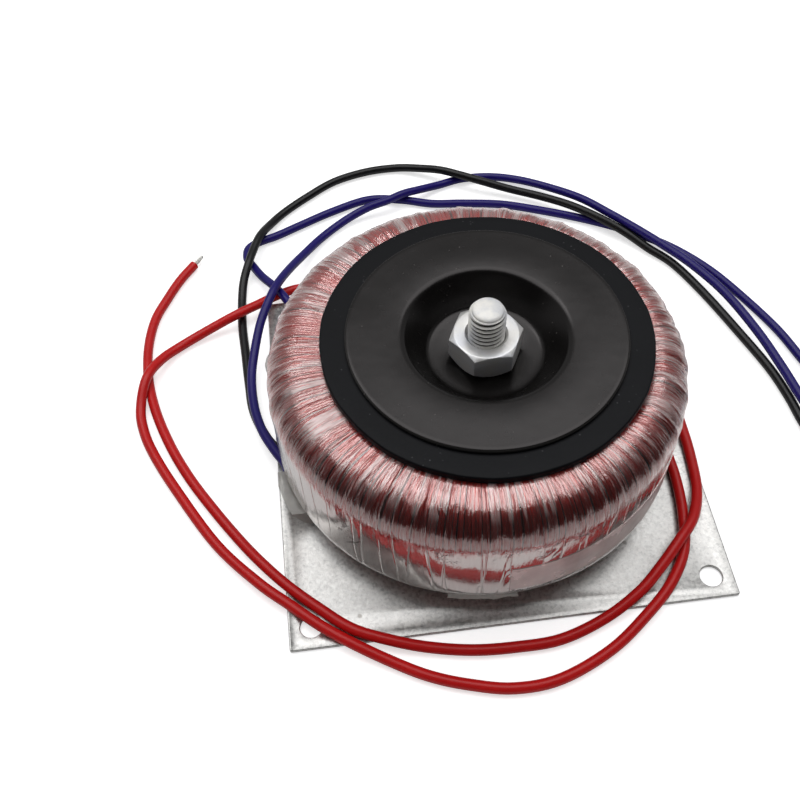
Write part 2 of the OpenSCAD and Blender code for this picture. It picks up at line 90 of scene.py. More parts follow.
class Val:
    """A number or vector socket that can be used in Python expressions."""

    def __init__(self, tree: Tree, socket: Socket) -> None:
        """Wraps a socket of a node tree."""
        self.tree = tree
        self.socket = socket

    def math(self, operation: str, *values: "Val | float") -> "Val":
        """Adds a Math node.

        Args:
            operation: The node's operation.
            values: Numbers or wrapped sockets for its inputs.

        Returns:
            The wrapped result.
        """
        node = self.tree.nodes.new("ShaderNodeMath")
        node.operation = operation
        for slot, value in zip(node.inputs, values):
            plug(self.tree, value, slot)
        return Val(self.tree, node.outputs[0])

    __add__, __radd__ = maths("ADD"), maths("ADD", True)
    __sub__, __rsub__ = maths("SUBTRACT"), maths("SUBTRACT", True)
    __mul__, __rmul__ = maths("MULTIPLY"), maths("MULTIPLY", True)
    __truediv__, sqrt, sin = maths("DIVIDE"), maths("SQRT"), maths("SINE")

    def clamp(self) -> "Val":
        """Limits the value to the range from 0 to 1."""
        return self.math("MINIMUM", self.math("MAXIMUM", self, 0.0), 1.0)

    def step(self, low: float, high: float) -> "Val":
        """Rises smoothly from 0 at low to 1 at high; falls if low is above high.

        Args:
            low: Where the result is 0.
            high: Where the result is 1.

        Returns:
            The wrapped mask.
        """
        node = self.tree.nodes.new("ShaderNodeMapRange")
        node.interpolation_type = "SMOOTHSTEP"
        a, b, x, y = (low, high, 0.0, 1.0) if low < high else (high, low, 1.0, 0.0)
        for name, value in (("From Min", a), ("From Max", b), ("To Min", x), ("To Max", y)):
            node.inputs[name].default_value = value
        plug(self.tree, self, node.inputs["Value"])
        return Val(self.tree, node.outputs["Result"])


def plug(tree: Tree, value: Val | float | Sequence[float], slot: Socket) -> None:
    """Links a wrapped socket to an input, or sets the input to a constant.

    Args:
        tree: The node tree.
        value: The wrapped socket, or the number, colour or vector.
        slot: The input.
    """
    if isinstance(value, Val):
        tree.links.new(value.socket, slot)
    elif isinstance(value, (int, float)):
        slot.default_value = value
    else:
        size = len(slot.default_value)
        slot.default_value = (*value, 1.0)[:size] if size == 4 else tuple(value)[:size]


class Paint:
    """Builds one material's node tree."""

    def __init__(self, name: str) -> None:
        """Makes an empty material called name."""
        self.material = bpy.data.materials.new(name)
        self.material.use_nodes = True
        self.tree = self.material.node_tree
        self.tree.nodes.clear()
        self.place = Val(self.tree, self.tree.nodes.new("ShaderNodeTexCoord").outputs["Object"])

    def node(
        self,
        kind: str,
        settings: dict[str, object] | None = None,
        inputs: dict[str | int, object] | None = None,
        output: str | int = 0,
    ) -> Val:
        """Adds any node.

        Args:
            kind: The node's type, without the ShaderNode prefix.
            settings: Properties that are set before the sockets.
            inputs: Values or wrapped sockets by input name or number.
            output: The output to return.

        Returns:
            The wrapped output socket.
        """
        node = self.tree.nodes.new("ShaderNode" + kind)
        for key, value in (settings or {}).items():
            setattr(node, key, value)
        for key, value in (inputs or {}).items():
            plug(self.tree, value, node.inputs[key])
        return Val(self.tree, node.outputs[output])

    def axes(self, place: Val | None = None) -> tuple[Val, Val, Val]:
        """Splits a vector, by default the place on the object, in x, y and z."""
        split = self.tree.nodes.new("ShaderNodeSeparateXYZ")
        plug(self.tree, place or self.place, split.inputs[0])
        return tuple(Val(self.tree, s) for s in split.outputs)

    def polar(self, centre: Flat = (0.0, 0.0)) -> tuple[Val, Val, Val, Val]:
        """Place from an upright axis at centre: x, y, z and the radius."""
        x, y, z = self.axes()
        dx, dy = x - centre[0] * MM, y - centre[1] * MM
        return dx, dy, z, (dx * dx + dy * dy).sqrt()

    def vector(self, x: Val | float, y: Val | float, z: Val | float) -> Val:
        """Joins three values in one vector."""
        return self.node("CombineXYZ", inputs={"X": x, "Y": y, "Z": z})

    def scaled(self, place: Val, factor: float | Sequence[float]) -> Val:
        """Multiplies a vector by a number or by three numbers."""
        by = (factor,) * 3 if isinstance(factor, (int, float)) else factor
        return self.node("VectorMath", {"operation": "MULTIPLY"}, {0: place, 1: by})

    def cloud(self, place: Val, scale: float, detail: float = 3.0, rough: float = 0.55) -> Val:
        """Fractal noise between 0 and 1."""
        inputs = {"Vector": place, "Scale": scale, "Detail": detail, "Roughness": rough}
        return self.node("TexNoise", None, inputs)

    def cells(self, place: Val, scale: float, feature: str = "F1", output: str = "Distance") -> Val:
        """Cell pattern: distances, edges or one random colour a cell."""
        return self.node("TexVoronoi", {"feature": feature}, {"Vector": place, "Scale": scale}, output)

    def draws(self, place: Val, scale: float) -> tuple[Val, Val]:
        """Two random numbers for each cell of a pattern."""
        first, second, _ = self.axes(self.cells(place, scale, "F1", "Color"))
        return first, second

    def blend(self, factor: Val | float, first: object, second: object) -> Val:
        """Mixes two colours by a factor."""
        node = self.tree.nodes.new("ShaderNodeMix")
        node.data_type = "RGBA"
        plug(self.tree, factor, node.inputs["Factor"])
        plug(self.tree, first, node.inputs[6])
        plug(self.tree, second, node.inputs[7])
        return Val(self.tree, node.outputs[2])

    def bump(self, height: Val, depth: float, strength: float = 1.0, under: Val | None = None) -> Val:
        """Turns a height between 0 and 1 into a normal.

        Args:
            height: The height pattern.
            depth: The depth of the pattern in millimetres.
            strength: The share of the effect that is used.
            under: A normal that this one is laid on.

        Returns:
            The wrapped normal.
        """
        inputs = {"Height": height, "Distance": depth * MM, "Strength": strength}
        if under is not None:
            inputs["Normal"] = under
        return self.node("Bump", None, inputs)

    def finish(self, **sockets: object) -> Material:
        """Adds the surface shader and ends the tree.

        Args:
            sockets: Values by socket name, with _ for a space.

        Returns:
            The finished material.
        """
        names = {key.replace("_", " "): value for key, value in sockets.items()}
        shader = self.node("BsdfPrincipled", None, names, "BSDF")
        out = self.tree.nodes.new("ShaderNodeOutputMaterial")
        self.tree.links.new(shader.socket, out.inputs["Surface"])
        return self.material


# ------------------------------------------------------------------- finishes


@dataclass(frozen=True)
class GalvanisedSheet:
    """Zinc-coated sheet with fine spangle, faint rolling lines and small marks."""

    colour: Point = (0.6, 0.595, 0.58)
    dark: Point = (0.2, 0.2, 0.2)
    stain: Point = (0.16, 0.14, 0.12)
    spangle: float = 1450.0
    grit: float = 1050.0
    mark: float = 130.0

    def build(self) -> Material:
        """Returns the material."""
        p = Paint("galvanised_sheet")
        grain, _ = p.draws(p.place, self.spangle)
        coarse = p.cloud(p.place, 70.0, 4.0)
        fine = p.cloud(p.place, self.grit, 2.0)
        rolled = p.cloud(p.scaled(p.place, (8.0, 900.0, 8.0)), 1.0)
        tone = 0.58 + 0.5 * grain + 0.1 * (coarse - 0.5) + 1.1 * (fine - 0.5) + 0.06 * (rolled - 0.5)
        colour = p.blend(tone.clamp(), self.dark, self.colour)
        gate = p.cloud(p.place, 33.0, 1.0).step(0.52, 0.58)
        marks = p.cells(p.place, self.mark).step(0.1, 0.05) * gate
        colour = p.blend(marks * 0.6, colour, self.stain)
        normal = p.bump(fine * 0.6 + grain * 0.4, 0.03, 0.35)
        rough = 0.31 + 0.12 * grain + 0.04 * (coarse - 0.5)
        return p.finish(Base_Color=colour, Metallic=0.82, Roughness=rough, Normal=normal)


@dataclass(frozen=True)
class PadRubber:
    """Matte rubber sheet with fine grain and a little dust."""

    colour: Point = (0.0035, 0.0038, 0.005)
    worn: Point = (0.009, 0.0096, 0.012)
    dust: Point = (0.16, 0.16, 0.17)

    def build(self) -> Material:
        """Returns the material."""
        p = Paint("pad_rubber")
        grain = p.cloud(p.place, 2600.0)
        broad = p.cloud(p.place, 60.0)
        specks = p.cells(p.place, 620.0).step(0.17, 0.08)
        specks = specks * p.cloud(p.place, 150.0, 2.0).step(0.52, 0.66)
        colour = p.blend(broad * 0.4, self.colour, self.worn)
        colour = p.blend(specks * 0.3, colour, self.dust)
        normal = p.bump(grain, 0.04, 0.5, p.bump(broad, 0.5, 0.35))
        rough = 0.5 + 0.2 * (grain - 0.5)
        return p.finish(Base_Color=colour, Roughness=rough, Specular_IOR_Level=0.11, Normal=normal)


@dataclass(frozen=True)
class DarkWasher:
    """Satin black coat on pressed steel, bright where the edge is worn."""

    rim_r: float
    colour: Point = (0.0035, 0.0032, 0.0031)
    thin: Point = (0.006, 0.0054, 0.005)
    dust: Point = (0.2, 0.19, 0.18)
    bare: Point = (0.3, 0.29, 0.28)
    sheen: Point = (1.0, 0.95, 0.95)

    def build(self) -> Material:
        """Returns the material."""
        p = Paint("dark_washer")
        _, _, _, radius = p.polar()
        broad = p.cloud(p.place, 45.0)
        dimples = p.cloud(p.place, 1100.0, 2.0)
        scuff = p.cloud(p.scaled(p.place, (260.0, 1400.0, 2.0)), 1.0, 4.0).step(0.66, 0.74)
        specks = p.cells(p.place, 520.0).step(0.13, 0.06)
        specks = specks * p.cloud(p.place, 120.0, 2.0).step(0.5, 0.66)
        edge = radius.step((self.rim_r - 0.42) * MM, (self.rim_r - 0.12) * MM)
        colour = p.blend(broad * 0.5, self.colour, self.thin)
        colour = p.blend(specks * 0.35, colour, self.dust)
        colour = p.blend(edge * 0.05, colour, self.bare)
        rough = 0.25 + 0.14 * (broad - 0.5) + 0.1 * scuff + 0.25 * specks
        normal = p.bump(dimples, 0.012, 0.4, p.bump(broad, 0.35, 0.5))
        return p.finish(
            Base_Color=colour, Roughness=rough, IOR=1.39, Specular_Tint=self.sheen, Normal=normal
        )


@dataclass(frozen=True)
class BrightZinc:
    """Bright plated steel of the bolt and nut, with faint blue and yellow tints.

    A thread's grooves get a painted shade where groove_r, their radius, is given.
    """

    name: str = "bright_zinc"
    colour: Point = (0.68, 0.67, 0.65)
    metal: float = 0.62
    dull: float = 0.31
    groove_r: float = 0.0
    groove_top: float = 0.0
    cool: Point = (0.66, 0.67, 0.7)
    grey: Point = (0.4, 0.38, 0.35)
    groove_shade: Point = (0.07, 0.062, 0.055)

    def build(self) -> Material:
        """Returns the material."""
        p = Paint(self.name)
        tint = p.cloud(p.place, 160.0)
        fine = p.cloud(p.place, 2400.0)
        draw = p.cloud(p.scaled(p.place, (400.0, 400.0, 4000.0)), 1.0, 2.0)
        colour = p.blend(tint.step(0.35, 0.7), self.colour, self.cool)
        colour = p.blend(fine.step(0.6, 0.75) * 0.35, colour, self.grey)
        if self.groove_r:
            _, _, z, radius = p.polar()
            # painted shade in the thread's roots, below groove_top
            groove = radius.step((self.groove_r + 0.4) * MM, (self.groove_r + 0.15) * MM)
            below = z.step(self.groove_top * MM, (self.groove_top - 0.4) * MM)
            colour = p.blend(groove * below, colour, self.groove_shade)
        rough = self.dull + 0.2 * (tint - 0.3) + 0.14 * (draw - 0.5)
        normal = p.bump(fine, 0.02, 0.3, p.bump(draw, 0.015, 0.25))
        return p.finish(Base_Color=colour, Metallic=self.metal, Roughness=rough, Normal=normal)


@dataclass(frozen=True)
class EnamelledWire:
    """Glossy enamel over copper, each turn a slightly different red."""

    name: str
    colour: Point
    second: Point
    centre: Flat

    def build(self) -> Material:
        """Returns the material."""
        p = Paint(self.name)
        dx, dy, z, radius = p.polar(self.centre)
        around = p.vector(dx / radius, dy / radius, (radius - z) * 3.0)
        shade = p.cloud(around, 26.0)
        turn = p.cloud(around, 130.0, 2.0, 0.7)
        colour = p.blend((shade * 0.8 + turn * 0.6 - 0.2).clamp(), self.colour, self.second)
        rough = 0.3 + 0.2 * turn
        return p.finish(Base_Color=colour, Roughness=rough, Metallic=0.35, Specular_IOR_Level=0.3)


@dataclass(frozen=True)
class ClearFilm:
    """Wound polyester film: clear and glossy, milky where it overlaps.

    The film reflects like a thin stack of sheets, so its cover is the sum of a
    mirror share and a milky share, and metallic splits the two.
    """

    centre: Flat
    middle_z: float
    turns: int
    thin: Point = (0.62, 0.56, 0.54)
    clear: Point = (0.84, 0.8, 0.78)
    pale_line: Point = (0.74, 0.6, 0.59)
    red_line: Point = (0.5, 0.1, 0.09)
    crack: Point = (0.03, 0.012, 0.012)

    def build(self) -> Material:
        """Returns the material."""
        p = Paint("clear_film")
        dx, dy, z, radius = p.polar(self.centre)
        height, over = z / MM - self.middle_z, (radius - z) / MM
        cosine, sine = dx / radius, dy / radius
        warp = (p.cloud(p.place, 38.0, 2.0) - 0.5) * 0.04
        ring = p.vector(cosine + warp, sine - warp, over * 0.0008)
        # long creases run over the rim, from the hole to the foot
        pleats = p.cloud(p.vector(cosine, sine, over * 0.003), 46.0, 4.0, 0.62)
        fine = p.cloud(p.vector(cosine, sine, over * 0.0016), 120.0, 3.0, 0.6)
        facets = p.cells(p.vector(cosine, sine, over * 0.004), 42.0)
        lines = p.cloud(p.vector(cosine, sine, over * 0.0006), 230.0, 2.0).step(0.5, 0.66)
        place = {"Vector": p.vector(dx, dy, z)}
        angle = p.node("TexGradient", {"gradient_type": "RADIAL"}, place, "Fac")
        ridges = (angle * (self.turns * 2 * math.pi)).sin() * 0.5 + 0.5
        bands, _ = p.draws(ring, 8.0)
        edges = p.cells(ring, 8.0, "DISTANCE_TO_EDGE").step(0.0, 0.03)
        strips, narrow = p.draws(ring, 30.0)
        # below the shoulder the film stands off the turns and mirrors the floor
        flank = (height + 2.6 * strips + 2.0 * narrow).step(13.4, 11.0)
        shoulder = height.step(6.0, 14.0)
        top = height.step(18.0, 20.2)
        cracks = self.cracks(p) * flank
        milky = bands.step(0.7, 0.74) * 0.14 + strips.step(0.72, 0.78) * 0.3 + (1.0 - edges) * 0.08
        milky = milky * (0.4 + 0.9 * pleats) * (0.1 + 0.9 * top) + flank * 0.14 + 0.01
        milky = milky + cracks * 0.45
        fresnel = p.node("Fresnel", None, {"IOR": 1.55})
        mirror = (fresnel * (3.4 + 2.0 * flank) + 0.12 + 0.15 * flank + 0.04 * top).clamp()
        cover = (mirror + milky).clamp()
        metal = (mirror / (mirror + milky)).clamp()
        grey = p.blend(fine.clamp(), self.thin, self.clear)
        grey = p.blend(shoulder * 0.75, grey, p.blend(lines, self.pale_line, self.red_line))
        grey = p.blend(cracks * 0.8, grey, self.crack)
        normal = p.bump(pleats, 1.1, 0.07 + 0.33 * shoulder)
        normal = p.bump(facets, 0.4, 0.04 + 0.26 * shoulder, normal)
        normal = p.bump(fine, 0.2, 0.04 + 0.16 * shoulder, normal)
        normal = p.bump(ridges, 0.1, 0.3 * shoulder, normal)
        normal = p.bump(edges, 0.15, 0.8, normal)
        rough = 0.04 + 0.08 * fine * shoulder + 0.1 * top + 0.16 * milky
        return p.finish(Base_Color=grey, Roughness=rough, Metallic=metal, Alpha=cover, Normal=normal)

    def cracks(self, p: Paint) -> Val:
        """Fine curled cracks, in patches."""
        x, y, z = p.axes()
        curl = (p.cloud(p.place, 260.0) - 0.5) * 0.012
        ragged = p.vector(x + curl, y - curl, z * 0.55 + curl)
        fine = p.cells(ragged, 300.0, "DISTANCE_TO_EDGE").step(0.07, 0.02)
        return fine * p.cloud(p.place, 55.0, 2.0).step(0.53, 0.6)


@dataclass(frozen=True)
class Tape:
    """Adhesive film tape, slightly crumpled and yellowed."""

    name: str
    colour: Point
    alpha: float = 1.0
    shine: float = 0.0

    def build(self) -> Material:
        """Returns the material."""
        p = Paint(self.name)
        broad = p.cloud(p.place, 140.0)
        creases = p.cells(p.scaled(p.place, (1.0, 1.0, 0.4)), 330.0)
        fine = p.cloud(p.place, 1500.0, 2.0)
        dark = tuple(0.62 * c for c in self.colour)
        colour = p.blend(broad, dark, self.colour)
        normal = p.bump(creases, 0.25, 0.5, p.bump(fine, 0.04, 0.4))
        alpha = (self.alpha + 0.35 * (broad - 0.5)).clamp() if self.alpha < 1.0 else 1.0
        rough = 0.2 + 0.2 * broad - 0.14 * self.shine
        return p.finish(
            Base_Color=colour, Roughness=rough, Metallic=self.shine, Alpha=alpha, Normal=normal
        )


@dataclass(frozen=True)
class LeadSkin:
    """Extruded insulation of a lead: satin, faintly uneven, with light scuffs."""

    name: str
    colour: Point
    roughness: float = 0.34

    def build(self) -> Material:
        """Returns the material."""
        p = Paint(self.name)
        broad = p.cloud(p.place, 120.0)
        fine = p.cloud(p.place, 1900.0, 2.0)
        scuff = p.cloud(p.place, 420.0, 4.0, 0.7).step(0.62, 0.72)
        dark = tuple(0.78 * c for c in self.colour)
        pale = tuple(min(1.0, 1.1 * c + 0.015) for c in self.colour)
        colour = p.blend(broad, dark, self.colour)
        colour = p.blend(scuff * 0.35, colour, pale)
        normal = p.bump(fine, 0.02, 0.35, p.bump(broad, 0.14, 0.3))
        rough = self.roughness + 0.14 * (broad - 0.5) + 0.12 * scuff
        return p.finish(Base_Color=colour, Roughness=rough, Specular_IOR_Level=0.3, Normal=normal)


@dataclass(frozen=True)
class TinnedCopper:
    """Solder-tinned copper strands, dull silver with warm patches."""

    tin: Point = (0.66, 0.65, 0.62)
    copper: Point = (0.55, 0.38, 0.24)

    def build(self) -> Material:
        """Returns the material."""
        p = Paint("tinned_copper")
        patch = p.cloud(p.place, 900.0)
        colour = p.blend(patch.step(0.58, 0.7) * 0.6, self.tin, self.copper)
        normal = p.bump(patch, 0.05, 0.4)
        return p.finish(Base_Color=colour, Metallic=1.0, Roughness=0.3 + 0.2 * patch, Normal=normal)


@dataclass(frozen=True)
class CoreStrip:
    """Edge of a tightly wound strip of silicon steel."""

    centre: Flat
    strip_t: float = 0.3
    dark: Point = (0.16, 0.17, 0.19)
    pale: Point = (0.36, 0.37, 0.4)

    def build(self) -> Material:
        """Returns the material."""
        p = Paint("core_strip")
        _, _, _, radius = p.polar(self.centre)
        laps = (radius * (2 * math.pi / (self.strip_t * MM))).sin()
        stain = p.cloud(p.place, 90.0, 4.0)
        colour = p.blend((laps * 0.3 + 0.5 + (stain - 0.5)).clamp(), self.dark, self.pale)
        normal = p.bump(laps, 0.02, 0.5)
        return p.finish(Base_Color=colour, Metallic=0.9, Roughness=0.4 + 0.2 * stain, Normal=normal)


# ---------------------------------------------------------------- model making


class Cut(Enum):
    """How one solid changes another."""

    KEEP_COMMON = "INTERSECT"
    TAKE_AWAY = "DIFFERENCE"


class Bench:
    """Modelling steps shared by all pieces."""

    @staticmethod
    def add(name: str, data: bpy.types.ID) -> Piece:
        """Adds an object that holds data to the scene."""
        obj = bpy.data.objects.new(name, data)
        bpy.context.scene.collection.objects.link(obj)
        return obj

    @staticmethod
    def primitive(kind: str, name: str, **settings: object) -> Piece:
        """Adds a mesh primitive with nothing else selected.

        Args:
            kind: The primitive's kind, as its operator calls it.
            name: The object's name.
            settings: What the operator is given.

        Returns:
            The new object.
        """
        bpy.ops.object.select_all(action="DESELECT")
        getattr(bpy.ops.mesh, f"primitive_{kind}_add")(**settings)
        obj = bpy.context.view_layer.objects.active
        obj.name = name
        return obj

    @staticmethod
    def pick(obj: Piece) -> None:
        """Makes obj the only selected and active object."""
        bpy.ops.object.select_all(action="DESELECT")
        obj.select_set(True)
        bpy.context.view_layer.objects.active = obj

    @staticmethod
    @contextmanager
    def editing(obj: Piece) -> Iterator[None]:
        """Opens obj in edit mode, with all of it selected."""
        Bench.pick(obj)
        bpy.ops.object.mode_set(mode="EDIT")
        bpy.ops.mesh.select_all(action="SELECT")
        yield
        bpy.ops.object.mode_set(mode="OBJECT")

    @staticmethod
    def settle(obj: Piece) -> Piece:
        """Moves the object's place into its mesh."""
        Bench.pick(obj)
        bpy.ops.object.transform_apply(location=True, rotation=True, scale=True)
        return obj

    @staticmethod
    def tidy(obj: Piece, gap: float = 0.002) -> Piece:
        """Merges doubles and turns all faces outward."""
        with Bench.editing(obj):
            bpy.ops.mesh.remove_doubles(threshold=gap * MM)
            bpy.ops.mesh.normals_make_consistent(inside=False)
        return obj

    @staticmethod
    def smooth(obj: Piece, angle: float = 35.0) -> Piece:
        """Shades obj smooth except over edges sharper than angle, in degrees."""
        Bench.pick(obj)
        bpy.ops.object.shade_smooth_by_angle(angle=math.radians(angle))
        return obj

    @staticmethod
    def modify(obj: Piece, kind: str, **settings: object) -> Piece:
        """Adds a modifier and applies it.

        Args:
            obj: The object to change.
            kind: The modifier's type.
            settings: The modifier's properties.

        Returns:
            The same object.
        """
        Bench.pick(obj)
        step = obj.modifiers.new(kind.lower(), kind)
        for key, value in settings.items():
            setattr(step, key, value)
        bpy.ops.object.modifier_apply(modifier=step.name)
        return obj

    @staticmethod
    def soften(obj: Piece, width: float, angle: float, segments: int = 2) -> Piece:
        """Bevels the edges of obj that are sharper than angle."""
        return Bench.modify(
            obj, "BEVEL", width=width * MM, segments=segments, limit_method="ANGLE",
            angle_limit=math.radians(angle), harden_normals=False,
        )

    @staticmethod
    def cut(obj: Piece, tool: Piece, how: Cut) -> Piece:
        """Changes obj by tool and deletes the tool."""
        Bench.modify(obj, "BOOLEAN", object=tool, operation=how.value, solver="EXACT")
        bpy.data.objects.remove(tool)
        return obj

    @staticmethod
    def outline(name: str, points: Iterable[Point], closed: bool = True) -> Piece:
        """Makes an object that is one line of edges.

        Args:
            name: The object's name.
            points: The line's points, in millimetres.
            closed: Whether the last point is joined to the first.

        Returns:
            The new object.
        """
        spots = [tuple(c * MM for c in p) for p in points]
        pairs = [(i, i + 1) for i in range(len(spots) - 1)]
        if closed:
            pairs.append((len(spots) - 1, 0))
        mesh = bpy.data.meshes.new(name)
        mesh.from_pydata(spots, pairs, [])
        return Bench.add(name, mesh)

    @staticmethod
    def lathe(
        name: str, profile: Sequence[Flat], steps: int, centre: Flat = (0.0, 0.0), closed: bool = True
    ) -> Piece:
        """Spins a profile round a vertical axis.

        Args:
            name: The object's name.
            profile: Points (radius, height) in millimetres.
            steps: Steps in a full turn.
            centre: Where the axis stands.
            closed: Whether the profile closes on itself.

        Returns:
            The spun object.
        """
        obj = Bench.outline(name, [(centre[0] + r, centre[1], z) for r, z in profile], closed)
        with Bench.editing(obj):
            bpy.ops.mesh.spin(
                steps=steps, angle=2 * math.pi, center=(centre[0] * MM, centre[1] * MM, 0), axis=(0, 0, 1)
            )
        return Bench.tidy(obj)

    @staticmethod
    def tube(
        name: str, points: Sequence[Point], radius: float, roundness: int, closed: bool = False
    ) -> Piece:
        """Sweeps a round section along points and makes it a mesh.

        Args:
            name: The object's name.
            points: The centre line, in millimetres.
            radius: The section's radius in millimetres.
            roundness: Half of the section's points past the first four.
            closed: Whether the line closes on itself.

        Returns:
            The swept mesh object.
        """
        curve = bpy.data.curves.new(name, "CURVE")
        curve.dimensions = "3D"
        curve.bevel_depth = radius * MM
        curve.bevel_resolution = roundness
        curve.use_fill_caps = not closed
        spline = curve.splines.new("POLY")
        spline.points.add(len(points) - 1)
        for spot, p in zip(spline.points, points):
            spot.co = (*(c * MM for c in p), 1.0)
        spline.use_cyclic_u = closed
        Bench.pick(Bench.add(name, curve))
        bpy.ops.object.convert(target="MESH")
        return bpy.context.view_layer.objects.active

    @staticmethod
    def copy_of(node: str, name: str) -> Piece:
        """Copies a frame node's mesh, merges its loose triangles and dissolves flats.

        Args:
            node: The node's name.
            name: The copy's name.

        Returns:
            The copy.
        """
        obj = Bench.add(name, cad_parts[node].data.copy())
        obj.data.materials.clear()
        Bench.tidy(obj, 0.001)
        with Bench.editing(obj):
            bpy.ops.mesh.dissolve_limited(angle_limit=math.radians(0.6))
        return obj

    @staticmethod
    def join(name: str, parts: Sequence[Piece]) -> Piece:
        """Joins objects in one.

        Args:
            name: The name of the whole.
            parts: The objects.

        Returns:
            The whole.
        """
        bpy.ops.object.select_all(action="DESELECT")
        for part in parts:
            part.select_set(True)
        bpy.context.view_layer.objects.active = parts[0]
        bpy.ops.object.join()
        parts[0].name = name
        return parts[0]

    @staticmethod
    def reshape(obj: Piece, move: Move) -> Piece:
        """Moves the points of a mesh.

        Args:
            obj: The object that has the mesh.
            move: A function of all its points at once, in millimetres.

        Returns:
            The same object.
        """
        mesh = obj.data
        flat = np.empty(len(mesh.vertices) * 3)
        mesh.vertices.foreach_get("co", flat)
        moved = move(flat.reshape(-1, 3) / MM) * MM
        mesh.vertices.foreach_set("co", moved.ravel())
        mesh.update()
        return obj

    @staticmethod
    def deliver(obj: Piece, material: Material, slot: str, *nodes: str) -> Piece:
        """Dresses a piece, rides it on the body and lets it stand for nodes.

        Args:
            obj: The finished piece.
            material: Its material.
            slot: What it is made of, in a word; not used.
            nodes: The frame's nodes that it takes the place of.

        Returns:
            The same piece.
        """
        obj.data.materials.clear()
        obj.data.materials.append(material)
        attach(obj, BODY)
        if nodes:
            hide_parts(*nodes)
        LOG.info("%s: %d points", obj.name, len(obj.data.vertices))
        return obj

    @staticmethod
    def dress(node: str, material: Material) -> None:
        """Gives a frame node a new material in all its slots."""
        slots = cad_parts[node].material_slots
        for slot in slots:
            slot.material = material
        if not slots:
            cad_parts[node].data.materials.append(material)
        LOG.info("%s: dressed", node)


def waves(*axes: Points) -> Points:
    """Smooth noise between -1 and 1 at the spots that three arrays give."""
    return np.array([noise.noise(Vector(spot)) for spot in zip(*axes)])


def ramp(values: Points, start: float, length: float) -> Points:
    """Rises evenly from 0 at start to 1 a length further."""
    return np.clip((values - start) / length, 0, 1)


def arc(centre: Flat, radius: float, start: float, end: float, steps: int) -> list[Flat]:
    """Points of an arc, from its start angle to its end angle."""
    turn = [math.radians(start + (end - start) * k / steps) for k in range(steps + 1)]
    return [(centre[0] + radius * math.cos(a), centre[1] + radius * math.sin(a)) for a in turn]


def round_corner(before: Flat, corner: Flat, after: Flat, radius: float, steps: int = 6) -> list[Flat]:
    """Replaces a corner of a profile by a tangent arc.

    Args:
        before: The point before the corner.
        corner: The corner.
        after: The point after the corner.
        radius: The radius of the arc.
        steps: The number of chords.

    Returns:
        The points of the arc.
    """
    a, b, c = (Vector(p) for p in (before, corner, after))
    u, v = (a - b).normalized(), (c - b).normalized()
    half = u.angle(v) / 2
    middle = b + (u + v).normalized() * radius / math.sin(half)
    first, last = b + u * radius / math.tan(half), b + v * radius / math.tan(half)
    start = math.degrees(math.atan2(first.y - middle.y, first.x - middle.x))
    end = math.degrees(math.atan2(last.y - middle.y, last.x - middle.x))
    turn = (end - start + 540) % 360 - 180
    return arc((middle.x, middle.y), radius, start, start + turn, steps)


def smooth_line(points: Sequence[Point], steps: int) -> list[Point]:
    """Draws a smooth curve through points.

    Args:
        points: The points.
        steps: The number of chords between two of them.

    Returns:
        The curve's points.
    """
    line = [Vector(p) for p in points]
    ends = [2 * line[0] - line[1], *line, 2 * line[-1] - line[-2]]
    out: list[Point] = []
    for a, b, c, d in zip(ends, ends[1:], ends[2:], ends[3:]):
        for k in range(steps):
            t = k / steps
            spot = 2 * b + (c - a) * t + (2 * a - 5 * b + 4 * c - d) * t * t
            out.append(tuple((spot + (3 * b - a - 3 * c + d) * t**3) * 0.5))
    return [*out, tuple(line[-1])]


# ---------------------------------------------------------------- camera, room


@dataclass
class Camera:
    """The viewing camera: where it stands, and how it is turned from +Y."""

    stand: Point = (-37.8, -160.9, 247.3)
    yaw: float = 5.34
    pitch: float = 54.28
    roll: float = -2.24
    lens: float = 45.55
    sensor: float = 36.0
    clip: float = 10.0

    def build(self) -> None:
        """Adds the camera to the scene."""
        yaw, pitch, roll = (math.radians(a) for a in (self.yaw, self.pitch, self.roll))
        level_share = math.cos(pitch)
        ahead = Vector((math.sin(yaw) * level_share, math.cos(yaw) * level_share, -math.sin(pitch)))
        level = Vector((math.cos(yaw), -math.sin(yaw), 0.0))
        upright = level.cross(ahead)
        right = math.cos(roll) * level + math.sin(roll) * upright
        up = math.cos(roll) * upright - math.sin(roll) * level
        data = bpy.data.cameras.new("camera")
        data.lens = self.lens
        data.sensor_width = self.sensor
        data.clip_start = self.clip * MM
        camera = Bench.add("camera", data)
        turn = Matrix((right, up, -ahead)).transposed().to_4x4()
        camera.matrix_world = Matrix.Translation(Vector(self.stand) * MM) @ turn
        bpy.context.scene.camera = camera


@dataclass(frozen=True)
class Lamp:
    """A soft lamp that faces straight down, in metres."""

    name: str
    place: Point
    size: Flat
    power: float

    def build(self) -> None:
        """Adds the lamp."""
        data = bpy.data.lights.new(self.name, "AREA")
        data.shape = "RECTANGLE"
        data.size, data.size_y = self.size
        data.energy = self.power
        lamp = Bench.add(self.name, data)
        lamp.location = self.place
        down = Vector((0.0, 0.0, -self.place[2]))
        lamp.rotation_euler = down.to_track_quat("-Z", "Y").to_euler()


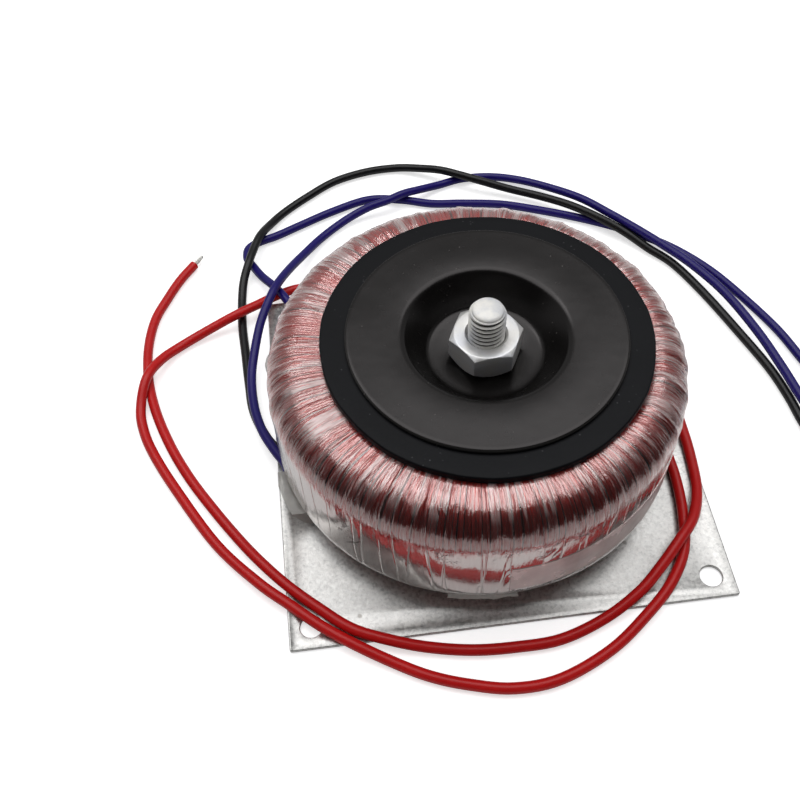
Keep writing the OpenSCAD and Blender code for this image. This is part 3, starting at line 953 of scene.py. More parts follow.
@dataclass
class Studio:
    """Pale floor, one broad soft lamp with a smaller one, and a dim room.

    Lengths are metres. Mirrors see a dark room in front and a pale one behind.
    """

    lamps: tuple[Lamp, ...] = (
        Lamp("softbox", (0.0, 0.28, 0.95), (1.4, 0.8), 8.2),
        Lamp("glare", (-0.3, 0.58, 0.945), (0.34, 0.16), 0.6),
    )
    room: float = 0.2
    dark: float = 0.022
    pale: float = 0.4
    floor_size: float = 6.0
    floor_z: float = -0.0002
    floor_pale: Point = (0.88, 0.88, 0.88)
    floor_dark: Point = (0.06, 0.06, 0.06)

    def floor(self) -> None:
        """Adds the floor, which looks white and keeps the object's shadow."""
        place = (0, 0, self.floor_z)
        plane = Bench.settle(Bench.primitive("plane", "floor", size=self.floor_size, location=place))
        p = Paint("floor")
        camera, mirrors = seen_by(p.tree)
        _, y, _, away = p.polar()
        near = away.step(0.26, 0.17)
        front = y.step(0.06, -0.02)
        glow = camera * (0.6 + 0.5 * away.step(0.25, 1.2)) + mirrors * near * 0.06
        colour = p.blend((mirrors * front - near).clamp(), self.floor_pale, self.floor_dark)
        material = p.finish(
            Base_Color=colour, Roughness=0.6, Emission_Color=(1, 1, 1), Emission_Strength=glow
        )
        plane.data.materials.append(material)

    def surroundings(self) -> None:
        """Lights the world, by what looks at it."""
        world = bpy.data.worlds.new("room")
        bpy.context.scene.world = world
        world.use_nodes = True
        tree = world.node_tree
        camera, mirrors = seen_by(tree)
        back = tree.nodes["Background"]
        back.inputs["Color"].default_value = (1, 1, 1, 1)
        split = tree.nodes.new("ShaderNodeSeparateXYZ")
        tree.links.new(tree.nodes.new("ShaderNodeTexCoord").outputs["Generated"], split.inputs[0])
        behind = Val(tree, split.outputs["Y"]).step(-0.2, 0.3)
        seen = mirrors * (self.dark - self.room + behind * (self.pale - self.dark))
        plug(tree, self.room + camera * (1 - self.room) + seen, back.inputs["Strength"])

    def build(self) -> None:
        """Adds floor, lamps and world."""
        bpy.context.scene.view_settings.view_transform = "Standard"
        self.floor()
        for lamp in self.lamps:
            lamp.build()
        self.surroundings()


def seen_by(tree: Tree) -> tuple[Val, Val]:
    """Two switches: 1 for camera rays, and 1 for rays of mirrors and glass."""
    path = tree.nodes.new("ShaderNodeLightPath")
    rays = ("Is Camera Ray", "Is Glossy Ray", "Is Transmission Ray")
    camera, glossy, through = (Val(tree, path.outputs[ray]) for ray in rays)
    return camera, (glossy + through).clamp()


# -------------------------------------------------------------- sub-assemblies


@dataclass
class MountingPlate:
    """Square sheet with four holes and a pressed-up middle."""

    edge: float = 0.22

    def build(self) -> Piece:
        """Returns the sheet with its sheared edges rounded off."""
        sheet = Bench.copy_of("base_plate", "mounting_plate")
        Bench.soften(sheet, self.edge, 40.0)
        Bench.smooth(sheet, 40.0)
        return Bench.deliver(sheet, GalvanisedSheet().build(), "zinc_plate", "base_plate")


@dataclass
class RubberPads:
    """The two rubber rings that the wound ring is clamped between."""

    outer_r: float = 43.0
    hole_r: float = 24.0
    thickness: float = 2.4
    lower_z: float = 1.2
    upper_z: float = 44.4
    soft: float = 0.45
    steps: int = 240

    def ring(self, name: str, z: float, seed: float) -> Piece:
        """Makes one pad, cut a little unevenly, with rounded edges.

        Args:
            name: The pad's name.
            z: The height of its underside.
            seed: Where its unevenness is read.

        Returns:
            The pad.
        """
        top, soft = z + self.thickness, self.soft
        profile = [
            *arc((self.outer_r - soft, z + soft), soft, -90, 0, 4),
            *arc((self.outer_r - soft, top - soft), soft, 0, 90, 4),
            (self.outer_r - 2.6, top), (self.outer_r - 9, top), (self.hole_r, top), (self.hole_r, z),
        ]
        pad = Bench.lathe(name, profile, self.steps)

        def uneven(points: Points) -> Points:
            """Shifts the outer edge a little in and out."""
            turn = np.arctan2(points[:, 1], points[:, 0])
            wave = 0.1 * np.sin(3 * turn + seed) + 0.07 * np.sin(11 * turn + 2 * seed)
            wave = wave + 0.03 * np.sin(29 * turn)
            share = ramp(np.hypot(points[:, 0], points[:, 1]), self.outer_r - 3, 3)
            points[:, :2] *= (1 + (wave - 0.18) * share / self.outer_r)[:, None]
            return points

        return Bench.smooth(Bench.reshape(pad, uneven), 50.0)

    def build(self) -> None:
        """Adds both pads."""
        rubber = PadRubber().build()
        for node, z, seed in (("upper_pad", self.upper_z, 0.7), ("lower_pad", self.lower_z, 2.1)):
            Bench.deliver(self.ring(node + "_rubber", z, seed), rubber, "pad_rubber", node)


@dataclass(frozen=True)
class Patch:
    """A thin sheet on the outer wall of the ring.

    Its place is two angles round the ring, two heights and the gap to the turns.
    """

    name: str
    start: float
    sweep: float
    low: float
    high: float
    off: float
    thickness: float
    columns: int
    rows: int


@dataclass
class WoundRing:
    """Secondary turns under a clear film, with the film's end and a bare strip."""

    centre: Flat = (-2.5, -0.5)
    middle_z: float = 24.0
    turns: int = 377
    wire_d: float = 0.86
    inner_r: float = 20.6
    outer_r: float = 53.6
    half_h: float = 19.8
    rim_r: float = 9.0
    hole_rim_r: float = 7.0
    bulge: float = 1.1
    rise: float = 0.6
    bed_depth: float = 0.62
    film_gap: float = 0.32
    film_reach: float = 20.4
    film_steps: int = 900
    overlaps: int = 34
    end_patch: Patch = Patch("film_end_fold", 163, 16, 13, 37, 0.5, 0.5, 40, 44)
    lip_patch: Patch = Patch("film_lip", -106, 19, 7, 14, 1.3, 0.3, 80, 12)
    strip_patch: Patch = Patch("bare_strip", -90, 68, 14, 25, 1.44, 0.1, 96, 12)
    red: tuple[Point, Point] = ((0.62, 0.016, 0.018), (0.8, 0.09, 0.07))
    # the lower layer's red is darkened as painted shade between the outer turns
    bed_shade_red: tuple[Point, Point] = ((0.06, 0.004, 0.004), (0.13, 0.012, 0.01))
    copper: tuple[Point, Point] = ((0.3, 0.1, 0.03), (0.5, 0.2, 0.07))

    def polar(self, points: Points) -> tuple[Points, Points, Points, Points]:
        """Points as x and y from the ring's axis, angle in radians and radius."""
        x, y = points[:, 0] - self.centre[0], points[:, 1] - self.centre[1]
        return x, y, np.arctan2(y, x), np.hypot(x, y)

    def placed(self, x: Points, y: Points, z: Points) -> Points:
        """Points at x and y from the ring's axis and at height z."""
        return np.stack([x + self.centre[0], y + self.centre[1], z], axis=1)

    def level(self, z: Points) -> Points:
        """Height as a share: -1 at the ring's foot, 0 in its middle, 1 on top."""
        return (z - self.middle_z) / self.half_h

    def section(self, grow: float, rim_steps: int, hole_steps: int, wall: int = 1) -> list[Flat]:
        """Rounded section of the ring as points (radius, height).

        Args:
            grow: How far it lies outside the turns.
            rim_steps: Chords in each outer rim.
            hole_steps: Chords in each rim of the hole.
            wall: Chords in the outer wall.

        Returns:
            The points, from the middle of the foot outward.
        """
        out, hole = self.rim_r + grow, self.hole_rim_r + grow
        ro, ri, h = self.outer_r + grow, self.inner_r - grow, self.half_h + grow
        lower = arc((ro - out, self.middle_z - h + out), out, -90, 0, rim_steps)
        upper = arc((ro - out, self.middle_z + h - out), out, 0, 90, rim_steps)
        low_z, high_z = lower[-1][1], upper[0][1]
        side = [(ro, low_z + (high_z - low_z) * k / wall) for k in range(1, wall)]
        return [
            *lower, *side, *upper,
            *arc((ri + hole, self.middle_z + h - hole), hole, 90, 180, hole_steps),
            *arc((ri + hole, self.middle_z - h + hole), hole, 180, 270, hole_steps),
        ]

    def swollen(self, points: Points) -> Points:
        """Lets wall and shoulder bulge, and lifts the shoulder where the pad is not in the way."""
        x, y, _, radius = self.polar(points)
        height = self.level(points[:, 2])
        wall = ramp(height, -0.95, 0.35)
        grow = 1 + self.bulge * ramp(radius, 40, 9) * wall * wall * (3 - 2 * wall) / radius
        free = ramp(np.hypot(points[:, 0], points[:, 1]), 42.9, 0.6)
        return self.placed(x * grow, y * grow, points[:, 2] + self.rise * free * ramp(height, 0.3, 0.5))

    def windings(self) -> Piece:
        """One enamelled turn, copied round the ring and laid a little unevenly."""
        half = self.wire_d / 2
        loop = [(r, 0.0, z) for r, z in self.section(-half, 7, 4)]
        turn = Bench.tube("secondary_turns", loop, half, 1, True)
        count = len(turn.data.vertices)
        bpy.ops.object.empty_add(location=(0, 0, 0), rotation=(0, 0, 2 * math.pi / self.turns))
        guide = bpy.context.view_layer.objects.active
        Bench.modify(
            turn, "ARRAY", count=self.turns, use_relative_offset=False, use_object_offset=True,
            offset_object=guide,
        )
        bpy.data.objects.remove(guide)
        Bench.reshape(turn, self.unevenness(count))
        Bench.reshape(turn, self.swollen)
        return Bench.smooth(turn, 80.0)

    def unevenness(self, count: int) -> Move:
        """Draws how far each turn, and each group of turns, is off its even place.

        Args:
            count: The number of points in a turn.

        Returns:
            A function that moves the points of all turns.
        """
        chance = np.random.default_rng(11)
        sizes: list[int] = []
        while sum(sizes) < self.turns:
            sizes.append(int(chance.integers(3, 10)))
        group = np.repeat(np.arange(len(sizes)), sizes)[: self.turns]
        middle = np.array([np.flatnonzero(group == g).mean() for g in range(len(sizes))])
        # slip, lean and bow are shares of the pitch, and sink is millimetres
        slip = (middle[group] - np.arange(self.turns)) * 0.07 + chance.normal(0, 0.05, self.turns)
        lean = chance.normal(0, 0.22, len(sizes))[group] + chance.normal(0, 0.16, self.turns)
        bow = chance.normal(0, 0.12, self.turns)
        sink = np.abs(chance.normal(0, 0.09, self.turns)) + 0.1 * chance.random(len(sizes))[group]
        pitch = 2 * math.pi / self.turns

        def unevenly(points: Points) -> Points:
            """Turns, leans and lowers each turn by its own amounts."""
            own = np.arange(len(points)) // count
            x, y, height = points[:, 0], points[:, 1], self.level(points[:, 2])
            angle = (slip[own] + lean[own] * height + bow[own] * np.sin(3 * height + own)) * pitch
            radius = np.hypot(x, y)
            push = 1 - sink[own] * ramp(radius, 42, 8) / radius
            c, s = np.cos(angle) * push, np.sin(angle) * push
            return self.placed(x * c - y * s, x * s + y * c, points[:, 2])

        return unevenly

    def bed(self) -> Piece:
        """The layer of turns below, seen between the outer ones, its red painted dark as the shade between
        them.
        """
        ring = Bench.lathe("turn_bed", self.section(-self.bed_depth, 7, 4), 360, self.centre)
        return Bench.smooth(Bench.reshape(ring, self.swollen), 60.0)

    def film(self) -> Piece:
        """The clear film, drawn tight over the turns and creased over the rims."""
        section = self.section(self.film_gap, 12, 6, 12)
        skin = Bench.lathe("film_wrap", section, self.film_steps, self.centre)
        chance = np.random.default_rng(5)
        cuts = np.sort(chance.random(self.overlaps)) * 2 * math.pi
        drift = chance.normal(0, 0.035, self.overlaps)

        def creased(points: Points) -> Points:
            """Presses the film between overlaps and gathers it over the rims."""
            x, y, turn, radius = self.polar(points)
            height = self.level(points[:, 2])
            out = np.zeros(len(points))
            for cut, lean in zip(cuts, drift):
                away = (turn - cut - lean * height + math.pi) % (2 * math.pi) - math.pi
                out += np.where((away > 0) & (away < 0.11), 0.08 * np.exp(-away / 0.05), 0.0)
            out += 0.42 * waves(np.cos(turn) * 17, np.sin(turn) * 17, height * 1.1)
            out += 0.2 * waves(np.cos(turn) * 52, np.sin(turn) * 52, height * 2.3)
            out += 0.3 * waves(x * 0.16, y * 0.16, points[:, 2] * 0.12)
            out = np.clip(out, -0.22, 0.55) * (0.12 + 0.88 * ramp(height, 0.3, 0.4))
            slope = np.sign(height) * ramp(np.abs(height), 0.55, 0.45)
            outward = np.sqrt(1 - slope**2) * np.clip((radius - 37) / 8, -1, 1)
            out *= ramp(radius, 42.5, 3)
            factor = 1 + out * outward / radius
            low, high = self.middle_z - self.film_reach, self.middle_z + self.film_reach
            return self.placed(x * factor, y * factor, np.clip(points[:, 2] + out * slope, low, high))

        Bench.reshape(skin, creased)
        Bench.reshape(skin, self.swollen)
        return Bench.smooth(skin, 180.0)

    def patch(self, patch: Patch, fold: Move | None = None) -> Piece:
        """Makes a thin patch on the outer wall of the ring.

        Args:
            patch: The patch's place and size.
            fold: Moves the skin's points before it gets its thickness.

        Returns:
            The patch.
        """
        sheet = Bench.primitive(
            "grid", patch.name, x_subdivisions=patch.columns, y_subdivisions=patch.rows, size=1.0
        )
        rim = self.rim_r + patch.off
        foot = self.middle_z - self.half_h - patch.off + rim

        def wrapped(points: Points) -> Points:
            """Rolls the flat grid on the ring's outer wall and lower rim."""
            u, v = points[:, 0] * MM + 0.5, points[:, 1] * MM + 0.5
            angle = np.radians(patch.start + patch.sweep * u)
            z = patch.low + (patch.high - patch.low) * v
            below = np.clip(foot - z, 0, rim)
            radius = self.outer_r + patch.off - rim + np.sqrt(rim**2 - below**2)
            return self.placed(radius * np.cos(angle), radius * np.sin(angle), z)

        Bench.reshape(sheet, wrapped)
        if fold:
            Bench.reshape(sheet, fold)
        Bench.modify(sheet, "SOLIDIFY", thickness=patch.thickness * MM, offset=1.0)
        return Bench.tidy(sheet, 0.0005)

    def film_end(self) -> Piece:
        """The folded end of the film that stands out of the left flank."""
        patch = self.end_patch
        half_turn, half_height = patch.sweep / 2, (patch.high - patch.low) / 2 + 0.4

        def crumpled(points: Points) -> Points:
            """Lifts ridges and bends the fold's edges."""
            x, y, turn, radius = self.polar(points)
            turn, z = np.degrees(turn) % 360, points[:, 2]
            across, up = turn - patch.start - half_turn, z - (patch.low + patch.high) / 2
            bend = waves(turn * 0.42, z * 0.17, np.full(len(points), 3.1))
            middle = np.clip(1 - (across / half_turn) ** 2, 0, 1)
            middle = middle * np.clip(1 - (up / half_height) ** 2, 0, 1)
            ridge = np.exp(-(((across + 1.5 - 0.12 * up) / 1.5) ** 2))
            factor = 1 + middle**0.5 * (0.55 + 0.9 * np.abs(bend) + 0.8 * ridge) / radius
            shift = 0.8 * bend * (1 - middle)
            return self.placed(x * factor, y * factor + shift, z + shift)

        return Bench.smooth(Bench.reshape(self.patch(patch), crumpled), 40.0)

    def lip(self) -> Piece:
        """The loose lower edge of the film, which juts out at the front."""
        patch = self.lip_patch

        def jutting(points: Points) -> Points:
            """Folds the flap outward and leaves its edge ragged."""
            x, y, turn, radius = self.polar(points)
            out = ramp(-points[:, 2], -patch.high, patch.high - patch.low)
            ragged = waves(turn * 26, np.full(len(turn), 0.3), np.full(len(turn), 0.7))
            factor = (self.outer_r - 2.0 + 2.7 * out + 0.5 * ragged * out) / radius
            return self.placed(x * factor, y * factor, 8.6 - 0.7 * out + 0.25 * ragged)

        return Bench.smooth(self.patch(patch, jutting), 40.0)

    def build(self) -> None:
        """Adds turns, film, film end and strip, and dresses the layers inside."""
        outer = EnamelledWire("red_enamel", *self.red, self.centre).build()
        bed_shade = EnamelledWire("bed_shade_enamel", *self.bed_shade_red, self.centre).build()
        film = ClearFilm(self.centre, self.middle_z, self.turns).build()
        cloudy = Tape("cloudy_film", (0.72, 0.69, 0.66), 0.72).build()
        white = Tape("film_lip", (0.97, 0.95, 0.9)).build()
        pinkish = Tape("bare_strip", (0.98, 0.84, 0.82), 0.86, 0.35).build()
        Bench.deliver(self.windings(), outer, "enamelled_wire", "secondary_winding")
        Bench.deliver(self.bed(), bed_shade, "enamelled_wire")
        Bench.deliver(self.film(), film, "film", "outer_film")
        Bench.deliver(self.film_end(), cloudy, "film", "film_end_tab")
        Bench.deliver(self.lip(), white, "film")
        strip = Bench.smooth(self.patch(self.strip_patch), 40.0)
        Bench.deliver(strip, pinkish, "strip", "label_strip")
        lining = Tape("film_lining", (0.62, 0.56, 0.36)).build()
        Bench.dress("core", CoreStrip(self.centre).build())
        Bench.dress("primary_winding", EnamelledWire("copper_enamel", *self.copper, self.centre).build())
        Bench.dress("core_insulation", lining)
        Bench.dress("winding_insulation", lining)


@dataclass
class LeadExits:
    """Tape patches over the soldered joints under the lower rim."""

    edge: float = 0.35

    def build(self) -> None:
        """Adds the two patches and dresses the joints."""
        amber = Tape("exit_tape", (0.66, 0.64, 0.6), 0.6).build()
        tinned = TinnedCopper().build()
        for name in ("primary_tape", "secondary_tape"):
            patch = Bench.copy_of(name, name + "_patch")
            Bench.soften(patch, self.edge, 35.0)
            Bench.smooth(patch, 45.0)
            Bench.deliver(patch, amber, "tape", name)
        for name in ("primary_joints", "secondary_joints"):
            Bench.dress(name, tinned)


@dataclass
class DishedWasher:
    """Pressed dish that clamps the ring, with a rolled rim and soft bends."""

    outer_r: float = 36.3
    thickness: float = 1.3
    rim_z: float = 46.8
    depth: float = 8.5
    floor_r: float = 15.2
    mouth_r: float = 21.5
    mouth_bend: float = 1.5
    floor_bend: float = 2.2
    hole_r: float = 5.3
    wall_r: float = 18.2
    brim: tuple[Flat, ...] = ((30.0, 0.0), (27.0, -0.03), (24.8, -0.12))
    bowl: tuple[Flat, ...] = ((13.2, 0.1), (10.3, 0.02), (9.9, -0.08))
    steps: int = 256

    def build(self) -> Piece:
        """Returns the washer."""
        top = self.rim_z + self.thickness
        floor = top - self.depth
        under = floor - self.thickness
        slope = math.atan2(self.depth, self.mouth_r - self.floor_r)
        shift = self.thickness * math.tan(slope / 2)
        edge, half = self.outer_r - self.thickness / 2, self.thickness / 2
        mouth, foot = (self.mouth_r, top - 0.32), (self.floor_r, floor + 0.36)
        under_foot, under_mouth = (self.floor_r + shift, under), (self.mouth_r + shift, self.rim_z)
        brim = [(r, top + z) for r, z in self.brim]
        bowl = [(r, floor + z) for r, z in self.bowl]
        profile = [
            *arc((edge, self.rim_z + half), half + 0.04, 90, -90, 8)[::-1],
            (edge - 0.7, top + 0.03), (edge - 1.5, top), *brim,
            *round_corner(brim[-1], mouth, foot, self.mouth_bend + self.thickness, 10),
            (self.wall_r, floor + (self.wall_r - self.floor_r) * math.tan(slope) + 0.05),
            *round_corner(mouth, foot, bowl[0], self.floor_bend, 8), *bowl,
            (self.hole_r, bowl[-1][1]), (self.hole_r, under),
            *round_corner((0, under), under_foot, under_mouth, self.floor_bend + self.thickness, 8),
            *round_corner(under_foot, under_mouth, (edge, self.rim_z), self.mouth_bend, 8),
        ]
        dish = Bench.lathe("dished_washer_shell", profile, self.steps)
        Bench.smooth(dish, 50.0)
        return Bench.deliver(dish, DarkWasher(self.outer_r).build(), "dark_washer", "dished_washer")


@dataclass
class BoltAndNut:
    """Centre bolt with a rolled thread, and its hexagon nut."""

    thread_r: float = 4.93
    root_r: float = 4.1
    pitch: float = 1.5
    tip_z: float = 57.3
    thread_z: float = 38.0
    head_z: float = 7.3
    head_h: float = 6.4
    nut_z: float = 39.6
    nut_h: float = 8.0
    flats: float = 17.0
    nut_turn: float = 3.0
    shank_r: float = 4.9
    bore_gap: float = 0.07
    sink: float = 0.55
    edge: float = 0.18
    row: float = 0.12
    run_out: tuple[Flat, ...] = ((4.42, 1.5), (4.3, 1.38), (4.06, 1.3), (4.1, 1.1))
    dome: tuple[Flat, ...] = ((4.0, 0.82), (3.7, 0.56), (3.2, 0.38), (2.3, 0.2), (1.2, 0.07))

    def hexagon(self, name: str, z: float, h: float, turn: float) -> Piece:
        """A hexagon whose corners are turned down by a cone at both faces.

        Args:
            name: The object's name.
            z: The height of its lower face.
            h: Its height.
            turn: The angle of its first corner from +X, in degrees.

        Returns:
            The chamfered hexagon.
        """
        corner = self.flats / 2 / math.cos(math.pi / 6)
        block = Bench.settle(Bench.primitive(
            "cylinder", name, vertices=6, radius=corner * MM, depth=h * MM,
            location=(0, 0, (z + h / 2) * MM), rotation=(0, 0, math.radians(turn + 30)),
        ))
        face, wide = self.flats / 2 - 0.2, corner + 0.02
        top = z + h
        cone = [(0, z), (face - 0.2, z), (wide, z + 1.9), (wide, top - 0.8), (face, top), (0, top)]
        Bench.cut(block, Bench.lathe("cone", cone, 120, closed=False), Cut.KEEP_COMMON)
        return block

    def nut(self) -> Piece:
        """The nut, its bore countersunk at both faces."""
        nut = self.hexagon("hex_nut_body", self.nut_z, self.nut_h, self.nut_turn)
        low, high, r = self.nut_z, self.nut_z + self.nut_h, self.thread_r + self.bore_gap
        wide = r + self.sink
        bore = [
            (0, low - 1), (wide + 0.9, low - 1), (wide, low - 0.01), (r, low + self.sink),
            (r, high - self.sink), (wide, high + 0.01), (wide + 0.9, high + 1), (0, high + 1),
        ]
        Bench.cut(nut, Bench.lathe("bore", bore, 96, closed=False), Cut.TAKE_AWAY)
        Bench.soften(nut, self.edge, 25.0, 3)
        return Bench.smooth(nut, 35.0)

    def thread(self) -> Piece:
        """Threaded length, its turns run out in a chamfer below a domed end."""
        crest, tip = self.thread_r - 0.13, self.tip_z
        length = tip - 2.3 - self.thread_z
        rows = round(length / self.row)
        wall = [(crest, self.thread_z + length * k / rows) for k in range(rows + 1)]
        end = [(r, tip - below) for r, below in ((crest - 0.05, 2.0), *self.run_out, *self.dome)]
        rod = Bench.lathe("thread", [(0, self.thread_z), *wall, *end, (0, tip)], 96, closed=False)

        def rolled(points: Points) -> Points:
            """Presses the helical groove into the wall."""
            radius = np.hypot(points[:, 0], points[:, 1])
            turn = np.arctan2(points[:, 1], points[:, 0]) / (2 * np.pi)
            phase = np.abs((points[:, 2] / self.pitch - turn) % 1 - 0.5) * 2
            groove = np.clip((phase - 0.05) / 0.85, 0, 1)
            limit = crest - (crest - self.root_r) * groove
            share = np.minimum(limit, radius) / np.maximum(radius, 1e-9)
            share = np.where(points[:, 2] < tip - 1.3, share, 1.0)
            return points * np.stack([share, share, np.ones(len(share))], axis=1)

        return Bench.reshape(rod, rolled)

    def bolt(self) -> Piece:
        """The whole bolt: head, plain shank and thread."""
        head = self.hexagon("centre_bolt_body", self.head_z - self.head_h, self.head_h, 0.0)
        Bench.soften(head, self.edge, 25.0)
        low, high = self.head_z - 0.5, self.thread_z
        profile = [
            (0, low), (self.shank_r, low), (self.shank_r, high - 0.6), (self.shank_r - 0.6, high + 0.2),
            (0, high + 0.2),
        ]
        shank = Bench.lathe("shank", profile, 64, closed=False)
        return Bench.smooth(Bench.join("centre_bolt_body", [head, shank, self.thread()]), 38.0)

    def build(self) -> None:
        """Adds bolt and nut."""
        bright = BrightZinc("bolt_zinc", (0.97, 0.95, 0.9), 0.08, 0.4, self.root_r, self.tip_z - 1.6)
        Bench.deliver(self.bolt(), bright.build(), "bright_zinc", "centre_bolt")
        Bench.deliver(self.nut(), BrightZinc("nut_zinc").build(), "bright_zinc", "hex_nut")


@dataclass
class Lead:
    """One loose lead: its route, its size and its insulation."""

    name: str
    node: str
    tip: str
    diameter: float
    skin: LeadSkin
    slot: str
    route: Sequence[Point] = field(repr=False)
    tip_length: float = 4.5
    strand_r: float = 0.27
    twist: float = 16.0

    def strands(self, line: Sequence[Point], metal: Material) -> Piece:
        """The tinned end: seven strands, twisted and soldered together.

        Args:
            line: The lead's centre line.
            metal: The strands' material.

        Returns:
            The tinned end.
        """
        end, ahead = Vector(line[-1]), (Vector(line[-1]) - Vector(line[-2])).normalized()
        side = Vector((0, 0, 1)).cross(ahead).normalized()
        up = ahead.cross(side)
        parts = []
        for k in range(7):
            around = 0.0 if k == 6 else self.strand_r * 1.75
            path = []
            for share in np.linspace(0, 1, 13):
                far = self.tip_length * share - 0.2
                turn = math.radians(60 * k + self.twist * far)
                offset = (side * math.cos(turn) + up * math.sin(turn)) * around
                path.append(tuple(end + ahead * far + offset * (1.0 - 0.35 * share**3)))
            parts.append(Bench.tube(f"{self.tip}_{k}", path, self.strand_r, 2))
        tip = Bench.join(self.tip + "_strands", parts)
        Bench.smooth(tip, 50.0)
        return Bench.deliver(tip, metal, "tinned", self.tip)

    def build(self, metal: Material) -> None:
        line = smooth_line(self.route, 6)
        tube = Bench.smooth(Bench.tube(self.name, line, self.diameter / 2, 4), 60.0)
        tip = self.strands(line, metal)
        Bench.deliver(tube, self.skin.build(), self.slot, self.node)


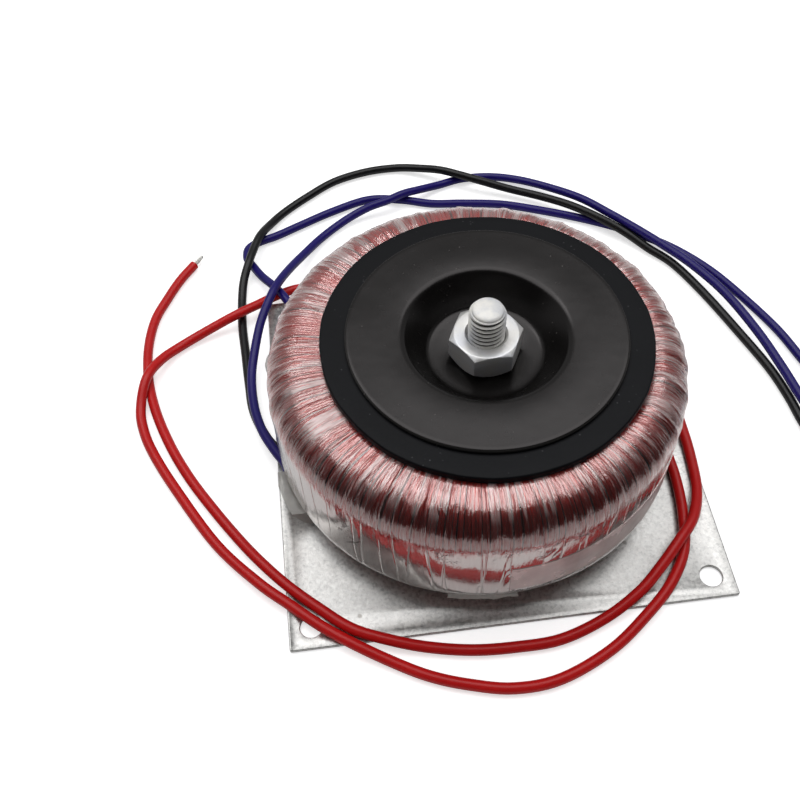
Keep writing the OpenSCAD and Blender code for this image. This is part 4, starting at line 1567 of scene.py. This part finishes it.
class LeadSet:
    """The two primary and three secondary leads as they lie on the surface."""

    red_1: Sequence[Point] = (
        (-5.5, 51.9, 5.3), (-9.5, 51.9, 5.3), (-13, 52.2, 4.9), (-18, 53.8, 4.1), (-27, 57, 3),
        (-37, 60.8, 2.8), (-47, 62.9, 2.8), (-54, 61.4, 2.9), (-61.5, 57, 4), (-68.5, 52.9, 4.8),
        (-76, 50.2, 3.2), (-86, 45.4, 1.8), (-92.5, 39, 3.4), (-96.4, 31.2, 4.9), (-98.4, 22.5, 2.3),
        (-97.6, 15, 1.6), (-94.5, 6, 1.6), (-88, -7, 1.6), (-77, -26, 1.6), (-66, -39.5, 2.7),
        (-58, -47, 2.8), (-50.8, -53.6, 2.8), (-43.2, -59.4, 2.8), (-33.5, -65.4, 1.8),
        (-24.6, -70.3, 1.6), (-15, -73.8, 1.6), (-4, -76.2, 1.6), (8, -75.3, 1.6), (22, -69.6, 1.8),
        (33, -62, 2.8), (41.3, -54.5, 2.8), (47.4, -45.6, 2.8), (50.3, -35, 2.8), (51.6, -24, 2.8),
        (51.6, -13, 2.8), (52.4, -2, 2.8), (52.4, 10, 2.8), (49.6, 23, 2.8),
    )
    red_2: Sequence[Point] = (
        (0.5, 51.9, 5.3), (4.5, 51.9, 5.3), (8, 51.9, 5), (14, 51.9, 4), (22.5, 50.8, 3.2),
        (32.5, 47.5, 2.8), (42.5, 41, 2.8), (50.5, 31.5, 2.8), (56, 20, 2.8), (58, 6, 2.8),
        (58.2, -8, 2.8), (57.7, -18, 2.8), (55.9, -28.6, 3.8), (51.8, -37.6, 5.5), (46, -44, 6.1),
        (39.5, -50.3, 5.4), (32.5, -56, 4), (22.3, -61.3, 2.1), (10, -65.2, 1.6), (-2, -65.7, 1.6),
        (-13, -65, 1.6), (-24, -62.8, 1.8), (-33.4, -60, 2.8), (-42.5, -55.8, 2.9), (-50.3, -49.2, 2.8),
        (-58.2, -41.6, 2.8), (-65, -33.5, 2.4), (-71, -25, 1.6), (-78, -14.2, 1.6), (-84.5, -3, 1.6),
        (-90, 9, 1.6), (-94.3, 22, 1.6), (-96.5, 34, 1.6), (-96.7, 46, 1.6), (-94.8, 57, 1.6),
        (-91, 65.5, 1.6), (-86.8, 73.3, 1.6), (-82.2, 79.6, 1.6),
    )
    blue_1: Sequence[Point] = (
        (-50.8, -13, 3.2), (-50.8, -9.5, 3.2), (-51.1, -6, 3), (-51.6, 0, 2.8), (-51, 9, 2.8),
        (-49, 19, 2.8), (-47, 29, 3), (-47.2, 39, 4), (-49.7, 49, 5.6), (-53, 56.5, 6.6),
        (-56.5, 63, 5.6), (-60, 70, 2.8), (-63, 76.5, 1.5), (-64.6, 80.3, 1.5), (-64, 84.3, 1.5),
        (-60.6, 86.9, 1.5), (-54.2, 89.1, 1.5), (-46.2, 92.8, 1.5), (-34, 98.2, 1.5), (-21.4, 102, 1.5),
        (-10, 100.2, 1.5), (0, 96.8, 1.5), (11, 95.3, 1.5), (24, 92.8, 1.5), (37, 87.8, 1.5),
        (49, 82.4, 1.5), (59, 77, 1.5), (68, 71, 1.5), (77, 63.2, 1.5), (85.5, 52.3, 1.5),
        (92.5, 39, 1.5), (98.5, 25, 1.5), (102.5, 11, 1.5), (107.5, -1, 1.5), (115.5, -10, 1.5),
        (126.5, -13.5, 1.5), (137.5, -10, 1.5), (145, -1, 1.5), (147, 12, 1.5),
    )
    blue_2: Sequence[Point] = (
        (-55.8, -13, 6.9), (-55.8, -9.5, 6.9), (-56.4, -6, 6.7), (-59.2, -0.5, 6), (-62.5, 7.5, 5.1),
        (-64.5, 17, 4.5), (-64.8, 28, 4.5), (-63, 38.5, 5.8), (-60.8, 46.1, 7.8), (-58, 52.5, 9.3),
        (-55.2, 58.8, 9.5), (-51, 67.5, 7), (-45.5, 77, 3.8), (-38.8, 86, 1.8), (-30.6, 92.5, 2),
        (-22.5, 95.8, 3.6), (-15.5, 97.3, 4.6), (-9.5, 99.8, 4.7), (-3, 102.5, 3.4), (4, 105.6, 1.7),
        (12, 107.7, 1.5), (22, 107.3, 1.5), (32, 103.8, 1.8), (42, 96.5, 3.2), (50.5, 88.8, 4.4),
        (57.5, 80.8, 4.7), (65, 71.8, 4.8), (72, 62.8, 4.8), (79, 52.6, 4.8), (85.5, 39.8, 4.7),
        (90.5, 23.5, 4.5), (93.3, 9, 4.4), (95.2, -3, 4.2), (99, -14.5, 2.5), (107.5, -22.5, 1.5),
        (119, -25.5, 1.5), (131, -24, 1.5), (141, -18, 1.5), (147, -9, 1.5),
    )
    black: Sequence[Point] = (
        (-53.5, -13, 4.9), (-53.5, -9.5, 4.9), (-54.1, -6, 4.6), (-57, -1, 3.8), (-61.4, 6.5, 2.2),
        (-65, 17, 1.5), (-66, 28, 1.5), (-66.6, 39, 1.5), (-67.2, 50, 1.5), (-67, 60.5, 1.6),
        (-66, 68.5, 2.9), (-64, 74.8, 4.4), (-62, 81, 4.6), (-59.6, 87, 4.5), (-56, 94, 2.4),
        (-50.5, 100.5, 1.5), (-42, 107, 1.5), (-32.5, 113, 1.5), (-21, 116.3, 1.5), (-10, 116.8, 1.5),
        (-1.5, 113.8, 2.8), (5, 110.2, 4.3), (11, 106.5, 4.7), (18, 102.6, 4.4), (27, 98.6, 3.2),
        (37.5, 93, 3.2), (46, 86.3, 4.3), (54, 79, 4.5), (61.5, 72.3, 3.2), (68, 65, 1.8),
        (74.4, 57, 1.5), (80.5, 43, 1.5), (86.5, 25.5, 1.5), (91, 11, 1.5), (93, 0, 1.5),
        (94.3, -11.5, 1.5), (98.5, -22, 1.5), (106.5, -31, 1.5), (119, -36, 1.5),
    )

    def build(self) -> None:
        """Adds all leads."""
        red = LeadSkin("red_insulation", (0.62, 0.009, 0.009))
        blue = LeadSkin("blue_insulation", (0.012, 0.005, 0.15))
        black = LeadSkin("black_insulation", (0.007, 0.007, 0.008), 0.32)
        metal = TinnedCopper().build()
        leads = (
            Lead("red_primary_lead_1", "red_lead_1", "red_tip_1", 3.0, red, "red_pvc", self.red_1),
            Lead("red_primary_lead_2", "red_lead_2", "red_tip_2", 3.0, red, "red_pvc", self.red_2),
            Lead("blue_secondary_lead_1", "blue_lead_1", "blue_tip_1", 2.8, blue, "blue_pvc", self.blue_1),
            Lead("blue_secondary_lead_2", "blue_lead_2", "blue_tip_2", 2.8, blue, "blue_pvc", self.blue_2),
            Lead("black_centre_lead", "black_lead", "black_tip", 2.8, black, "black_pvc", self.black),
        )
        for lead in leads:
            lead.build(metal)


def main() -> None:
    """Builds the model and the room round it."""
    logging.basicConfig(level=logging.INFO, format="%(name)s %(message)s")
    parts = (
        Camera(), LeadSet(), MountingPlate(), RubberPads(), WoundRing(), LeadExits(), DishedWasher(),
        BoltAndNut(), Studio(),
    )
    for part in parts:
        part.build()


if __name__ == "__main__":
    main()
